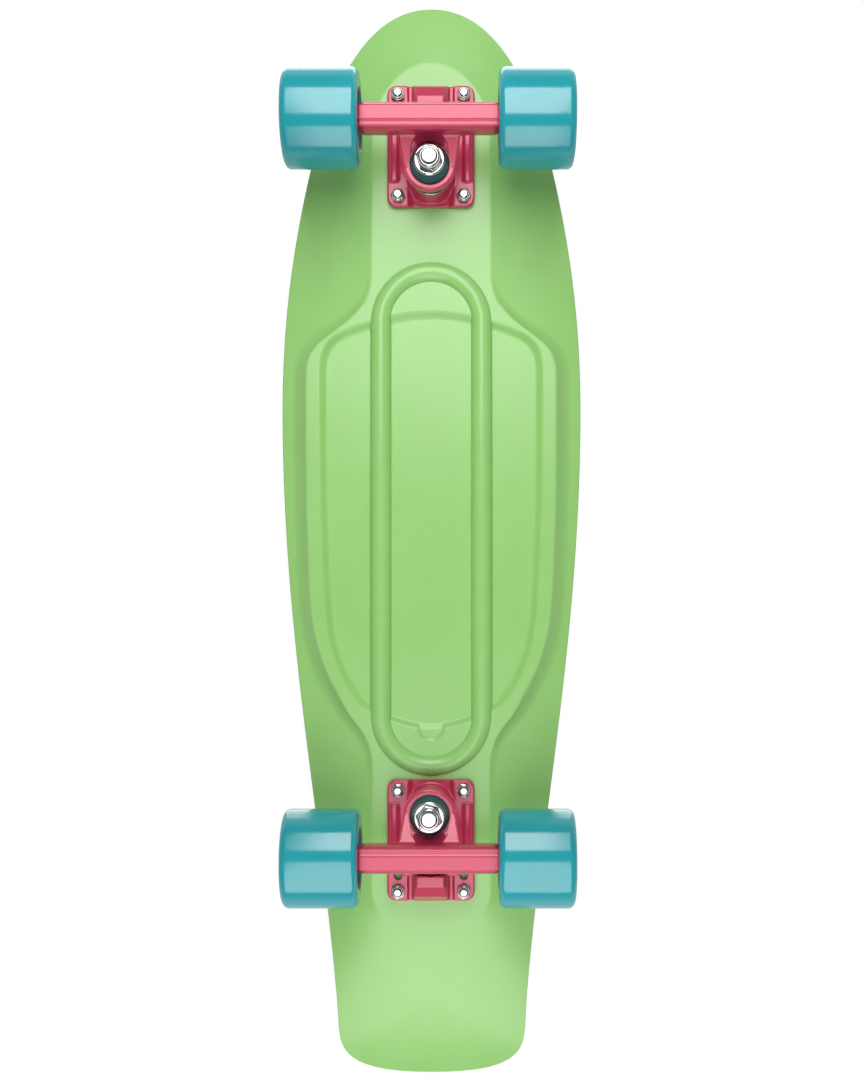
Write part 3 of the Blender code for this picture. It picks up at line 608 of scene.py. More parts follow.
def turned(name, profile, steps=64, angle=35):
    """A profile of (radius, height) points, drawn from a vertex and spun about Z.

    A profile that ends where it starts makes a ring.
    """
    bpy.ops.object.select_all(action="DESELECT")
    bpy.ops.mesh.primitive_plane_add(size=0.001)
    obj = bpy.context.object
    obj.name = name
    bpy.ops.object.mode_set(mode="EDIT")
    bpy.ops.mesh.select_all(action="SELECT")
    bpy.ops.mesh.merge(type="CENTER")
    radius, height = profile[0]
    bpy.ops.transform.translate(value=(radius, 0, height))
    for next_radius, next_height in profile[1:]:
        step = (next_radius - radius, 0, next_height - height)
        bpy.ops.mesh.extrude_region_move(TRANSFORM_OT_translate={"value": step})
        radius, height = next_radius, next_height
    bpy.ops.mesh.select_all(action="SELECT")
    bpy.ops.mesh.spin(steps=steps, angle=math.tau, center=(0, 0, 0), axis=(0, 0, 1))
    bpy.ops.mesh.select_all(action="SELECT")
    bpy.ops.mesh.remove_doubles(threshold=0.000005)
    bpy.ops.mesh.normals_make_consistent(inside=False)
    bpy.ops.object.mode_set(mode="OBJECT")
    bpy.ops.object.shade_smooth_by_angle(angle=math.radians(angle))
    return obj


def arc(radius, height, size, start, end, steps=5):
    """Points round a quarter or so of a circle, angles in degrees from +radius."""
    points = []
    for i in range(steps + 1):
        angle = math.radians(start + (end - start) * i / steps)
        points.append((radius + size * math.cos(angle), height + size * math.sin(angle)))
    return points


def copy_to(piece, name, matrix):
    """A copy with its own mesh, its place in the mesh."""
    mesh = piece.data.copy()
    mesh.transform(matrix)
    made = bpy.data.objects.new(name, mesh)
    bpy.context.scene.collection.objects.link(made)
    return made


def discard(piece):
    bpy.data.objects.remove(piece)


def node_middle(node):
    low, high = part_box(node)
    return (low + high) / 2


boss_pattern = turned(
    "boss_pattern",
    [(0.0056, -0.0040), (0.0056, -0.0004)]
    + arc(0.0059, -0.0003, 0.0003, 180, 90, 3)
    + arc(0.0063, -0.0005, 0.0005, 90, 0, 4)
    + [(0.0070, -0.0018), (0.0070, -0.0040), (0.0056, -0.0040)],
    40,
)
bolt_nodes = [f"{end}_deck_bolt_{number}" for end in ("front", "rear") for number in range(1, 5)]
for bolt_node in bolt_nodes:
    bolt_low, bolt_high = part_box(bolt_node)
    centre = node_middle(bolt_node)
    boss = copy_to(
        boss_pattern,
        bolt_node.replace("deck_bolt", "bolt_boss"),
        Matrix.Translation((centre.x, centre.y, bolt_high.z + 0.0003)),
    )
    boss.data.materials.append(deck_plastic)
    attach(boss, "board")
discard(boss_pattern)

# ---------------------------------------------------------------- deck bolts
# Countersunk machine screws, their heads painted light blue, with a cross
# recess. Plated lock nuts with a nylon ring hold them under the baseplates.


def boolean(piece, other, operation):
    """Joins or cuts a piece with another, which is used up."""
    bpy.ops.object.select_all(action="DESELECT")
    piece.select_set(True)
    bpy.context.view_layer.objects.active = piece
    modifier = piece.modifiers.new(operation.lower(), "BOOLEAN")
    modifier.operation = operation
    modifier.object = other
    bpy.ops.object.modifier_apply(modifier=modifier.name)
    discard(other)


def block(name, size, centre, bevel=0.0, segments=3):
    """A box of one size at one place, its edges rounded."""
    bpy.ops.object.select_all(action="DESELECT")
    bpy.ops.mesh.primitive_cube_add(size=1)
    obj = bpy.context.object
    obj.name = name
    bpy.ops.object.mode_set(mode="EDIT")
    bpy.ops.mesh.select_all(action="SELECT")
    bpy.ops.transform.resize(value=size, center_override=(0, 0, 0))
    if bevel:
        bpy.ops.mesh.bevel(offset=bevel, segments=segments, affect="EDGES")
    bpy.ops.mesh.select_all(action="SELECT")
    bpy.ops.transform.translate(value=centre)
    bpy.ops.object.mode_set(mode="OBJECT")
    return obj


def threads(radius, start, end, pitch, depth):
    """A zigzag profile that stands for a thread, from start to end height."""
    count = int(abs(end - start) / pitch)
    step = (end - start) / count
    points = []
    for i in range(count):
        points.append((radius, start + step * i))
        points.append((radius - depth, start + step * (i + 0.5)))
    points.append((radius, end))
    return points


bolt_length = bolt_high.z - bolt_low.z
head_radius = (bolt_high.x - bolt_low.x) / 2
bolt_radius = 0.0024
bolt_pattern = turned(
    "bolt_pattern",
    [(0, 0), (head_radius - 0.0003, 0), (head_radius, -0.0003), (bolt_radius, -head_radius + bolt_radius)]
    + threads(bolt_radius, -0.012, -bolt_length + 0.0005, 0.0008, 0.0004)
    + [(bolt_radius - 0.0005, -bolt_length), (0, -bolt_length)],
    40,
)
for turn in (0, 90):
    arm = block("cross_arm", (0.0056, 0.0011, 0.0040), (0, 0, 0), 0.0002, 1)
    arm.data.transform(Matrix.Rotation(math.radians(turn + 20), 4, "Z"))
    boolean(bolt_pattern, arm, "DIFFERENCE")
bpy.ops.object.shade_smooth_by_angle(angle=math.radians(35))

plate_finish = Finish("bright_plated_steel")
plate_smear = plate_finish.noise(260.0, 4.0, 0.6)
plate_pits = plate_finish.noise(2400.0, 2.0)
plated_steel = plate_finish.set(
    Base_Color=plate_finish.mix(plate_smear, rgb(0.42, 0.43, 0.44), rgb(0.60, 0.60, 0.60)),
    Metallic=1.0,
    Roughness=0.05 + 0.12 * plate_smear,
    Normal=plate_finish.bump(plate_pits + plate_smear, 0.00001, 0.3),
)


def plain_finish(name, dark, light, cloud_scale, smooth, spread, grain_scale, grain_depth, metallic=0.0):
    """A slow cloud between two colours, and a fine grain."""
    finish = Finish(name)
    cloud = finish.noise(cloud_scale)
    return finish.set(
        Base_Color=finish.mix(cloud, rgb(*dark), rgb(*light)),
        Metallic=metallic,
        Roughness=smooth + spread * cloud,
        Normal=finish.bump(finish.noise(grain_scale), grain_depth, 0.5),
    )


nylon = plain_finish(
    "dark_nylon", (0.012, 0.013, 0.014), (0.030, 0.032, 0.034), 600.0, 0.34, 0.16, 2400.0, 0.00002
)

blue_finish = Finish("light_blue_bolt_paint")
blue_wear = blue_finish.ramp(blue_finish.noise(700.0, 4.0, 0.7), 0.62, 0.70)
blue_paint = blue_finish.set(
    Base_Color=blue_finish.mix(blue_wear, rgb(0.15, 0.55, 0.72), rgb(0.45, 0.62, 0.68)),
    Roughness=0.30 + 0.25 * blue_wear,
    Metallic=0.6 * blue_wear,
    Normal=blue_finish.bump(blue_finish.noise(1500.0), 0.00003, 0.5),
)
for number, bolt_node in enumerate(bolt_nodes):
    bolt_low, bolt_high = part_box(bolt_node)
    centre = node_middle(bolt_node)
    place = Matrix.Translation((centre.x, centre.y, bolt_high.z))
    bolt = copy_to(bolt_pattern, "shown_" + bolt_node, place @ Matrix.Rotation(0.7 * number, 4, "Z"))
    bolt.data.materials.append(blue_paint)
    bolt.data.materials.append(plated_steel)
    for face in bolt.data.polygons:
        face.material_index = int(face.center.z < bolt_high.z - 0.010)
    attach(bolt, "board")
    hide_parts(bolt_node)
discard(bolt_pattern)


def lock_nut(name, flats, height, bore, collar=0.38):
    """A hexagon nut with chamfered corners and a round collar, from z = 0 up."""
    hex_height = height * (1 - collar)
    corner_radius = flats / math.sqrt(3)
    bpy.ops.object.select_all(action="DESELECT")
    bpy.ops.mesh.primitive_cylinder_add(vertices=6, radius=corner_radius, depth=hex_height)
    nut = bpy.context.object
    nut.name = name
    nut.data.transform(Matrix.Translation((0, 0, hex_height / 2)))
    nut.location = (0, 0, 0)
    rise = (corner_radius - flats * 0.47) * 0.55
    shape = turned(
        name + "_chamfer",
        [
            (0, 0),
            (flats * 0.47, 0),
            (corner_radius + 0.0002, rise),
            (corner_radius + 0.0002, hex_height - rise),
            (flats * 0.47, hex_height),
            (0, hex_height),
        ],
        48,
    )
    boolean(nut, shape, "INTERSECT")
    edge = flats * 0.09
    collar_radius = flats * 0.46
    liner = collar_radius - edge if bore < 0.003 else bore + 0.0008
    ring = turned(
        name + "_collar",
        [(0, hex_height - 0.0004), (collar_radius, hex_height - 0.0004)]
        + arc(collar_radius - edge, height - edge, edge, 0, 80, 5)
        + [(liner, height), (liner, height - 0.0003), (0, height - 0.0003)],
        48,
    )
    boolean(nut, ring, "UNION")
    past = height + 0.001
    hole = turned(name + "_hole", [(0, -0.001), (bore, -0.001), (bore, past), (0, past)], 32)
    boolean(nut, hole, "DIFFERENCE")
    bpy.ops.object.shade_smooth_by_angle(angle=math.radians(28))
    nut.data.materials.append(plated_steel)
    nut.data.materials.append(nylon)
    for face in nut.data.polygons:
        reach = max(math.hypot(*nut.data.vertices[i].co.xy) for i in face.vertices)
        face.material_index = int(reach < liner + 0.00005 and face.center.z > height * 0.7)
    return nut


def fit(piece, node, body, look):
    """Gives a piece its finish and puts it in a node's place."""
    if look:
        piece.data.materials.append(look)
    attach(piece, body)
    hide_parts(node)


nut_low, nut_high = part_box("front_deck_nut_1")
nut_pattern = lock_nut("nut_pattern", nut_high.x - nut_low.x, nut_high.z - nut_low.z, 0.0023)
upside_down = Matrix.Rotation(math.pi, 4, "X")
for number, bolt_node in enumerate(bolt_nodes):
    nut_node = bolt_node.replace("bolt", "nut")
    nut_low, nut_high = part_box(nut_node)
    centre = node_middle(nut_node)
    place = Matrix.Translation((centre.x, centre.y, nut_high.z)) @ upside_down
    nut = copy_to(nut_pattern, "shown_" + nut_node, place @ Matrix.Rotation(0.5 * number, 4, "Z"))
    fit(nut, nut_node, "board", None)
discard(nut_pattern)

# ---------------------------------------------------------------- baseplates
# Cast metal, painted crimson. A plate with rounded corners, a block that
# holds the pivot cup, a boss round the kingpin and a low rib along each side.


def cast(piece, voxel, smoothing):
    """Melts overlapping solids into one casting with soft inside corners."""
    bpy.ops.object.select_all(action="DESELECT")
    piece.select_set(True)
    bpy.context.view_layer.objects.active = piece
    remesh = piece.modifiers.new("melt", "REMESH")
    remesh.mode = "VOXEL"
    remesh.voxel_size = voxel
    bpy.ops.object.modifier_apply(modifier="melt")
    smooth = piece.modifiers.new("soften", "SMOOTH")
    smooth.factor = 0.5
    smooth.iterations = smoothing
    bpy.ops.object.modifier_apply(modifier="soften")


def join(pieces):
    """One object from several; the first keeps its name."""
    bpy.ops.object.select_all(action="DESELECT")
    for piece in pieces:
        piece.select_set(True)
    bpy.context.view_layer.objects.active = pieces[0]
    bpy.ops.object.join()
    return pieces[0]


plate_width = front_high.x - front_low.x
plate_length = front_high.y - front_low.y
plate_depth = front_high.z - front_low.z
plate_thick = 0.0055
hanger_low, hanger_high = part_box("front_hanger")
axle_place = node_middle("front_axle") - Vector((0, front_y, mount_z))
kingpin_y = node_middle("front_kingpin_nut").y - front_y
board_washer_low, board_washer_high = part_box("front_board_washer")
road_washer_low, road_washer_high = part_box("front_road_washer")
boss_bottom = board_washer_high.z - mount_z + 0.0003
seat_joint = next(joint for joint in frame["joints"] if joint["name"] == "front_steer")
seat = Vector(seat_joint["pos_m"]) - Vector((0, front_y, mount_z))
steer = Vector(seat_joint["axis"]).normalized()
pivot = node_middle("front_pivot_cup") - Vector((0, front_y, mount_z)) + steer * 0.0021
steer_turn = Vector((0, 0, 1)).rotation_difference(steer).to_matrix().to_4x4()


def rounded_plate(name, width, length, low, high, corner_radius, edge):
    """A plate with rounded corners and softened edges, low and high in z."""
    bpy.ops.object.select_all(action="DESELECT")
    bpy.ops.mesh.primitive_cube_add(size=1)
    obj = bpy.context.object
    obj.name = name
    bpy.ops.object.mode_set(mode="EDIT")
    bpy.ops.mesh.select_all(action="SELECT")
    bpy.ops.transform.resize(value=(width, length, high - low), center_override=(0, 0, 0))
    bpy.ops.transform.translate(value=(0, 0, (high + low) / 2))
    pick(obj, "EDGE", upright)
    bpy.ops.mesh.bevel(offset=corner_radius, segments=8, affect="EDGES")
    pick(obj, "EDGE", lambda bar: all(vert.co.z < low + 0.00001 for vert in bar.verts))
    bpy.ops.mesh.bevel(offset=edge, segments=3, affect="EDGES")
    bpy.ops.mesh.select_mode(type="VERT")
    bpy.ops.object.mode_set(mode="OBJECT")
    return obj


def post(name, radius, low, high, where, end_radius=None, steps=48):
    """A round post along Z at where; end_radius is its radius at low."""
    end = radius if end_radius is None else end_radius
    obj = turned(name, [(0, low), (end, low), (radius, high), (0, high)], steps)
    obj.data.transform(Matrix.Translation(where))
    return obj


def hull(name, corners):
    """The convex body round a set of corners."""
    bpy.ops.object.select_all(action="DESELECT")
    bpy.ops.mesh.primitive_cube_add(size=0.001)
    obj = bpy.context.object
    obj.name = name
    bpy.ops.object.mode_set(mode="EDIT")
    work = bmesh.from_edit_mesh(obj.data)
    spare = list(work.verts)
    for corner_place in corners:
        work.verts.new(corner_place)
    for vert in spare:
        work.verts.remove(vert)
    bmesh.update_edit_mesh(obj.data)
    bpy.ops.mesh.select_all(action="SELECT")
    bpy.ops.mesh.convex_hull()
    bpy.ops.mesh.normals_make_consistent(inside=False)
    bpy.ops.object.mode_set(mode="OBJECT")
    return obj


def corners_of(x, y, z):
    """The corners of a box that is symmetric in x; y and z are (low, high)."""
    return [(hand * x, a, b) for hand in (-1, 1) for a in y for b in z]


plate_end = plate_length / 2
plate = rounded_plate("plate", plate_width, plate_length, -plate_thick, 0, 0.0055, 0.0009)
# The middle of the plate's inner end is a ramp below the level of its sides
ramp = hull(
    "ramp",
    corners_of(0.0118, (0.022, plate_end + 0.003), (-plate_thick + 0.0030, -plate_thick + 0.0031))
    + corners_of(0.0150, (0.010, plate_end + 0.003), (-plate_thick - 0.0010, -plate_thick - 0.0009)),
)
boolean(plate, ramp, "DIFFERENCE")
for hand in (-1, 1):
    gutter = block("gutter", (0.0040, 0.0200, 0.0040), (hand * 0.0125, -plate_end + 0.0095, -plate_thick))
    boolean(plate, gutter, "DIFFERENCE")
block_low = 0.0004 - plate_depth
outer = -plate_end
plate_parts = [
    plate,
    hull(
        "pivot_block",
        corners_of(0.0085, (outer + 0.0124, outer + 0.0188), (block_low, block_low + 0.001))
        + corners_of(0.0098, (outer + 0.0052, outer + 0.0190), (block_low + 0.0050, block_low + 0.0055))
        + corners_of(0.0110, (outer + 0.0014, outer + 0.0210), (-0.0085, -0.002)),
    ),
    post("boss", 0.0150, boss_bottom, -0.001, (0, kingpin_y, 0), 0.0134),
    block("collar", (0.036, 0.006, 0.0100), (0, -plate_length / 2 + 0.0200, -0.0095), 0.0015),
]
for hand in (-1, 1):
    plate_parts.append(
        block("rib", (0.0048, 0.0360, 0.0040), (hand * 0.0230, 0.0048, -plate_thick + 0.0004), 0.0010, 2)
    )
    plate_parts.append(
        block("gusset", (0.0035, 0.0340, 0.0110), (hand * 0.0088, -0.0120, -0.0090), 0.0010, 2)
    )
baseplate = join(plate_parts)
baseplate.name = "baseplate_pattern"
cast(baseplate, 0.00060, 3)
pocket = turned("pocket", [(0, -0.0073), (0.0077, -0.0073), (0.0077, 0.0120), (0, 0.0120)], 48)
pocket.data.transform(Matrix.Translation(pivot) @ steer_turn)
boolean(baseplate, pocket, "DIFFERENCE")
boolean(baseplate, post("hole", 0.0050, boss_bottom - 0.002, 0.001, (0, kingpin_y, 0)), "DIFFERENCE")
boolean(baseplate, post("head", 0.0089, -0.0063, 0.001, (0, kingpin_y, 0)), "DIFFERENCE")
for hand in (-1, 1):
    for along in (-0.03175, 0.03175, 0.03175 - 0.0540):
        where = (hand * 0.02065, along, 0)
        boolean(baseplate, post("seat", 0.0058, -0.012, -plate_thick - 0.0001, where), "DIFFERENCE")
        boolean(baseplate, post("hole", 0.0028, -0.012, 0.001, where), "DIFFERENCE")
bpy.ops.object.shade_smooth_by_angle(angle=math.radians(40))

paint_finish = Finish("crimson_enamel")
paint_peel = paint_finish.noise(420.0, 2.0)
paint_cloud = paint_finish.noise(60.0, 3.0)
paint_chips = paint_finish.ramp(paint_finish.noise(330.0, 6.0, 0.75), 0.70, 0.74)
paint_colour = paint_finish.mix(paint_cloud, rgb(0.53, 0.024, 0.080), rgb(0.62, 0.044, 0.118))
crimson_paint = paint_finish.set(
    Base_Color=paint_finish.mix(paint_chips, paint_colour, rgb(0.40, 0.015, 0.05)),
    Metallic=0.10,
    Roughness=0.26 + 0.12 * paint_cloud + 0.15 * paint_chips,
    Normal=paint_finish.bump(paint_peel, 0.00010, 0.45),
    Coat_Weight=0.55,
    Coat_Roughness=0.12,
)


def truck_place(end):
    """From one truck's own frame, at the middle of its mounting face, to the board's."""
    low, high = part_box(end + "_baseplate")
    place = Matrix.Translation((0, (low.y + high.y) / 2, high.z))
    if end == "rear":
        place = place @ Matrix.Rotation(math.pi, 4, "Z")
    return place


def fit_both(pattern, piece, body, look):
    """Puts a copy of a truck piece, made in the truck's frame, in both trucks."""
    for end in ("front", "rear"):
        node = f"{end}_{piece}"
        made = copy_to(pattern, "shown_" + node, truck_place(end))
        fit(made, node, body or end + "_truck", look)
    discard(pattern)


fit_both(baseplate, "baseplate", "board", crimson_paint)

# ---------------------------------------------------------------- hangers
# Cast metal, painted crimson. A beam round the axle, a yoke out to the ring
# between the bushings, and a stem whose ball sits in the pivot cup.

hanger_half = (hanger_high.x - hanger_low.x) / 2
ring_low = seat.z - 0.0030
ring_high = seat.z + 0.0030
across = Matrix.Rotation(math.pi / 2, 4, "Y")

beam_length = 2 * hanger_half - 0.018
foot_place = axle_place + Vector((0, -0.0012, -0.0078))
lip_place = axle_place + Vector((0, 0.0058, -0.0066))
beam = block("beam", (beam_length, 0.0172, 0.0165), axle_place, 0.0040, 3)
foot = block("beam_foot", (beam_length, 0.0098, 0.0030), foot_place, 0.0008, 2)
lip = block("beam_lip", (beam_length, 0.0020, 0.0040), lip_place, 0.0006, 2)
core = turned(
    "beam_core",
    [
        (0, -hanger_half),
        (0.0068, -hanger_half),
        (0.0072, -hanger_half + 0.0004),
        (0.0078, -hanger_half + 0.0100),
        (0.0078, hanger_half - 0.0100),
        (0.0072, hanger_half - 0.0004),
        (0.0068, hanger_half),
        (0, hanger_half),
    ],
    48,
)
core.data.transform(Matrix.Translation(axle_place) @ across)
ring = turned(
    "ring",
    [
        (0, ring_low - 0.0010),
        (0.0152, ring_low - 0.0010),
        (0.0160, ring_low),
        (0.0160, ring_high - 0.0008),
        (0.0152, ring_high),
        (0, ring_high),
    ],
    64,
)
ring.data.transform(Matrix.Translation((0, kingpin_y, 0)))


beam_y = (axle_place.y - 0.0075, axle_place.y + 0.0070)
arm_level = (ring_low - 0.0018, ring_high)
yoke = hull(
    "yoke",
    corners_of(0.0190, beam_y, (axle_place.z + 0.0015, axle_place.z + 0.0075))
    + corners_of(0.0158, (kingpin_y - 0.0060, kingpin_y + 0.0010), arm_level),
)
stem_root = pivot + steer * 0.025
web = hull(
    "web",
    corners_of(0.0070, beam_y, (axle_place.z, axle_place.z + 0.0065))
    + corners_of(
        0.0052, (stem_root.y - 0.012, stem_root.y - 0.001), (stem_root.z - 0.001, stem_root.z + 0.0045)
    ),
)
stem = turned(
    "stem",
    [(0, -0.0048)] + arc(0, 0, 0.0048, -72, 30, 8) + [(0.0044, 0.0060), (0.0066, 0.026), (0, 0.026)],
    48,
)
stem.data.transform(Matrix.Translation(pivot) @ steer_turn)
hanger = join([beam, foot, lip, core, ring, yoke, web, stem])
hanger.name = "hanger_pattern"
cast(hanger, 0.00065, 3)
boolean(hanger, post("bore", 0.0072, ring_low - 0.002, ring_high + 0.002, (0, kingpin_y, 0)), "DIFFERENCE")
bushing_room = post("bushing_room", 0.0129, -0.060, ring_low, (0, kingpin_y, 0), steps=64)
boolean(hanger, bushing_room, "DIFFERENCE")
# A hollow between the yoke's arms, deepest at the bushing
beam_face_z = axle_place.z + 0.0015
face_rise = ring_low - 0.0018 - beam_face_z
below = -0.060
hollow = hull(
    "hollow",
    corners_of(0.0080, (kingpin_y - 0.0152,), (below, beam_face_z + 0.18 * face_rise + 0.0008))
    + corners_of(0.0112, (kingpin_y - 0.0105,), (below, beam_face_z + 0.60 * face_rise + 0.0030))
    + corners_of(0.0122, (kingpin_y - 0.0020,), (below, ring_low - 0.0002)),
)
boolean(hanger, hollow, "DIFFERENCE")
axle_hole = turned("axle_hole", [(0, -0.06), (0.0042, -0.06), (0.0042, 0.06), (0, 0.06)], 32)
axle_hole.data.transform(Matrix.Translation(axle_place) @ across)
boolean(hanger, axle_hole, "DIFFERENCE")
bpy.ops.object.shade_smooth_by_angle(angle=math.radians(40))
fit_both(hanger, "hanger", None, crimson_paint)

# ---------------------------------------------------------------- kingpins
# A plated bolt down from the deck side of each baseplate through washers,
# bushings and the hanger's ring, with a large lock nut at its road end.

pin_low, pin_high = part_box("front_kingpin")
pin_bottom = pin_low.z - mount_z
pin_top = pin_high.z - mount_z
pin_radius = 0.0047
pin_head_flats = 0.0143
pin_head_height = 0.0057
pin = turned(
    "pin_pattern",
    [(0, pin_bottom), (0.0040, pin_bottom), (0.0046, pin_bottom + 0.0008)]
    + threads(0.0046, pin_bottom + 0.0015, pin_bottom + 0.0135, 0.0010, 0.0005)
    + [(pin_radius, pin_bottom + 0.016), (pin_radius, pin_top - 0.003), (0, pin_top - 0.003)],
    48,
)
bpy.ops.object.select_all(action="DESELECT")
bpy.ops.mesh.primitive_cylinder_add(
    vertices=6, radius=pin_head_flats / math.sqrt(3), depth=pin_head_height
)
pin_head = bpy.context.object
pin_head.data.transform(Matrix.Translation((0, 0, pin_top - pin_head_height / 2)))
pin_head.location = (0, 0, 0)
boolean(pin, pin_head, "UNION")
bpy.ops.object.shade_smooth_by_angle(angle=math.radians(35))
pin.data.transform(Matrix.Translation((0, kingpin_y, 0)))
fit_both(pin, "kingpin", "board", plated_steel)

pin_nut_low, pin_nut_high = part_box("front_kingpin_nut")
pin_nut_flats = pin_nut_high.x - pin_nut_low.x
pin_nut_height = pin_nut_high.z - pin_nut_low.z
pin_nut = lock_nut("pin_nut_pattern", pin_nut_flats, pin_nut_height, 0.0044, 0.30)
pin_nut.data.transform(upside_down @ Matrix.Rotation(0.3, 4, "Z"))
pin_nut.data.transform(Matrix.Translation((0, kingpin_y, pin_nut_high.z - mount_z)))
fit_both(pin_nut, "kingpin_nut", "board", None)


def cup_washer(name, inner, top, lip_down):
    """A pressed washer with a turned lip; top is the height of its flat back."""
    bore = 0.0050
    outer = inner + 0.0010
    lip = 0.0033
    profile = (
        [(bore, 0), (bore, -0.0015), (inner - 0.0004, -0.0015)]
        + arc(inner - 0.0004, -0.0019, 0.0004, 90, 0, 3)
        + [(inner, -lip + 0.0003)]
        + arc(inner + 0.0005, -lip + 0.0005, 0.0005, 180, 360, 6)
        + arc(outer - 0.0012, -0.0012, 0.0012, 0, 90, 5)
        + [(outer - 0.0014, 0), (bore, 0)]
    )
    washer = turned(name, profile, 64)
    place = Matrix.Translation((0, kingpin_y, top))
    if not lip_down:
        place = place @ upside_down
    washer.data.transform(place)
    return washer


bushing_radius = 0.0122
road_end_radius = 0.0084
board_washer = cup_washer("board_washer", bushing_radius + 0.0003, board_washer_high.z - mount_z, True)
fit_both(board_washer, "board_washer", "board", plated_steel)
road_washer = cup_washer("road_washer", road_end_radius + 0.0003, road_washer_low.z - mount_z, False)
fit_both(road_washer, "road_washer", "board", plated_steel)

# ---------------------------------------------------------------- bushings
# Soft cast urethane, dark teal: a barrel above the ring and a cone below it.

rubber_finish = Finish("dark_teal_bushing_urethane")
rubber_cloud = rubber_finish.noise(180.0, 4.0, 0.6)
rubber_specks = rubber_finish.noise(1600.0, 2.0)
bushing_urethane = rubber_finish.set(
    Base_Color=rubber_finish.mix(rubber_cloud, rgb(0.004, 0.060, 0.075), rgb(0.010, 0.105, 0.120)),
    Roughness=0.30 + 0.20 * rubber_cloud,
    Normal=rubber_finish.bump(rubber_specks + 2.0 * rubber_cloud, 0.00006, 0.5),
)


def bushing(name, node, top_radius, bottom_radius, swell):
    low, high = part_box(node)
    top = high.z - mount_z
    bottom = low.z - mount_z
    middle = (top + bottom) / 2
    profile = (
        [(0.0050, top)]
        + arc(top_radius - 0.0010, top - 0.0010, 0.0010, 90, 0, 4)
        + [((top_radius + bottom_radius) / 2 + swell, middle)]
        + arc(bottom_radius - 0.0008, bottom + 0.0008, 0.0008, 0, -90, 4)
        + [(0.0050, bottom), (0.0050, middle), (0.0050, top)]
    )
    made = turned(name, profile, 64, 50)
    made.data.transform(Matrix.Translation((0, kingpin_y, 0)))
    return made


def fit_soft(pattern, piece):
    """Puts a bushing in both trucks, in its node's place."""
    for end in ("front", "rear"):
        node = f"{end}_{piece}"
        place = truck_place(end)
        made = copy_to(pattern, "shown_" + node, place)
        made.data.materials.append(bushing_urethane)
        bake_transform(made)
        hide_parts(node)
    discard(pattern)


board_bushing = bushing("board_bushing", "front_board_bushing", bushing_radius, bushing_radius, 0.0004)
fit_soft(board_bushing, "board_bushing")
road_bushing = bushing("road_bushing", "front_road_bushing", bushing_radius, road_end_radius, 0.0006)
fit_soft(road_bushing, "road_bushing")

# ---------------------------------------------------------------- pivot cups
# Black plastic cups pressed into the baseplates, where each hanger turns.

cup_plastic = plain_finish(
    "black_cup_plastic", (0.012, 0.012, 0.013), (0.030, 0.030, 0.032), 300.0, 0.42, 0.16, 2000.0, 0.00004
)
cup = turned(
    "cup_pattern",
    [(0, -0.0070), (0.0062, -0.0070), (0.0071, -0.0062)]
    + arc(0.0067, 0.0026, 0.0004, 0, 90, 3)
    + arc(0.0055, 0.0026, 0.0004, 90, 180, 3)
    + [(0.0051, -0.0030), (0.0030, -0.0050), (0, -0.0051)],
    48,
)
cup.data.transform(Matrix.Translation(pivot) @ steer_turn)
fit_both(cup, "pivot_cup", "board", cup_plastic)

# ---------------------------------------------------------------- axles
# A plated steel rod through each hanger, threaded at both ends. A speed
# washer and a lock nut hold each wheel on.

axle_low, axle_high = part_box("front_axle")
axle_half = (axle_high.x - axle_low.x) / 2
axle_radius = (axle_high.z - axle_low.z) / 2
axle = turned(
    "axle_pattern",
    [(0, -axle_half), (axle_radius - 0.0010, -axle_half)]
    + threads(axle_radius, -axle_half + 0.0008, -axle_half + 0.0090, 0.0010, 0.0005)
    + threads(axle_radius, axle_half - 0.0090, axle_half - 0.0008, 0.0010, 0.0005)
    + [(axle_radius - 0.0010, axle_half), (0, axle_half)],
    48,
)
axle.data.transform(Matrix.Translation(axle_place) @ across)
fit_both(axle, "axle", None, plated_steel)

wheel_nodes = [f"{end}_{hand}" for end in ("front", "rear") for hand in ("left", "right")]


def fit_wheels(pattern, piece, on_wheel, look):
    """Puts a copy of a wheel piece, its outer side at +Z and its middle at 0, at each wheel."""
    for corner_name in wheel_nodes:
        node = f"{corner_name}_{piece}"
        out = 90 if "right" in corner_name else -90
        place = Matrix.Translation(node_middle(node)) @ Matrix.Rotation(math.radians(out), 4, "Y")
        made = copy_to(pattern, "shown_" + node, place)
        body = corner_name + "_wheel_set" if on_wheel else corner_name.split("_")[0] + "_truck"
        fit(made, node, body, look)


washer_bore = 0.0043
washer_radius = 0.0065
washer_half = 0.0005
washer = turned(
    "washer_pattern",
    [(washer_bore, -washer_half), (washer_radius - 0.0002, -washer_half)]
    + [(washer_radius, -washer_half + 0.0002), (washer_radius, washer_half - 0.0002)]
    + [(washer_radius - 0.0002, washer_half), (washer_bore, washer_half), (washer_bore, -washer_half)],
    48,
)
fit_wheels(washer, "speed_washer", False, plated_steel)
discard(washer)

axle_nut_low, axle_nut_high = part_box("front_right_axle_nut")
axle_nut_height = axle_nut_high.x - axle_nut_low.x
axle_nut_flats = axle_nut_high.z - axle_nut_low.z
axle_nut = lock_nut("axle_nut_pattern", axle_nut_flats, axle_nut_height, axle_radius + 0.0001)
axle_nut.data.transform(Matrix.Rotation(math.radians(30), 4, "Z"))
axle_nut.data.transform(Matrix.Translation((0, 0, -axle_nut_height / 2)))
fit_wheels(axle_nut, "axle_nut", False, None)
discard(axle_nut)

# ---------------------------------------------------------------- bearings
# Two sealed ball bearings in each wheel: steel races with a dark shield
# pressed in between them.

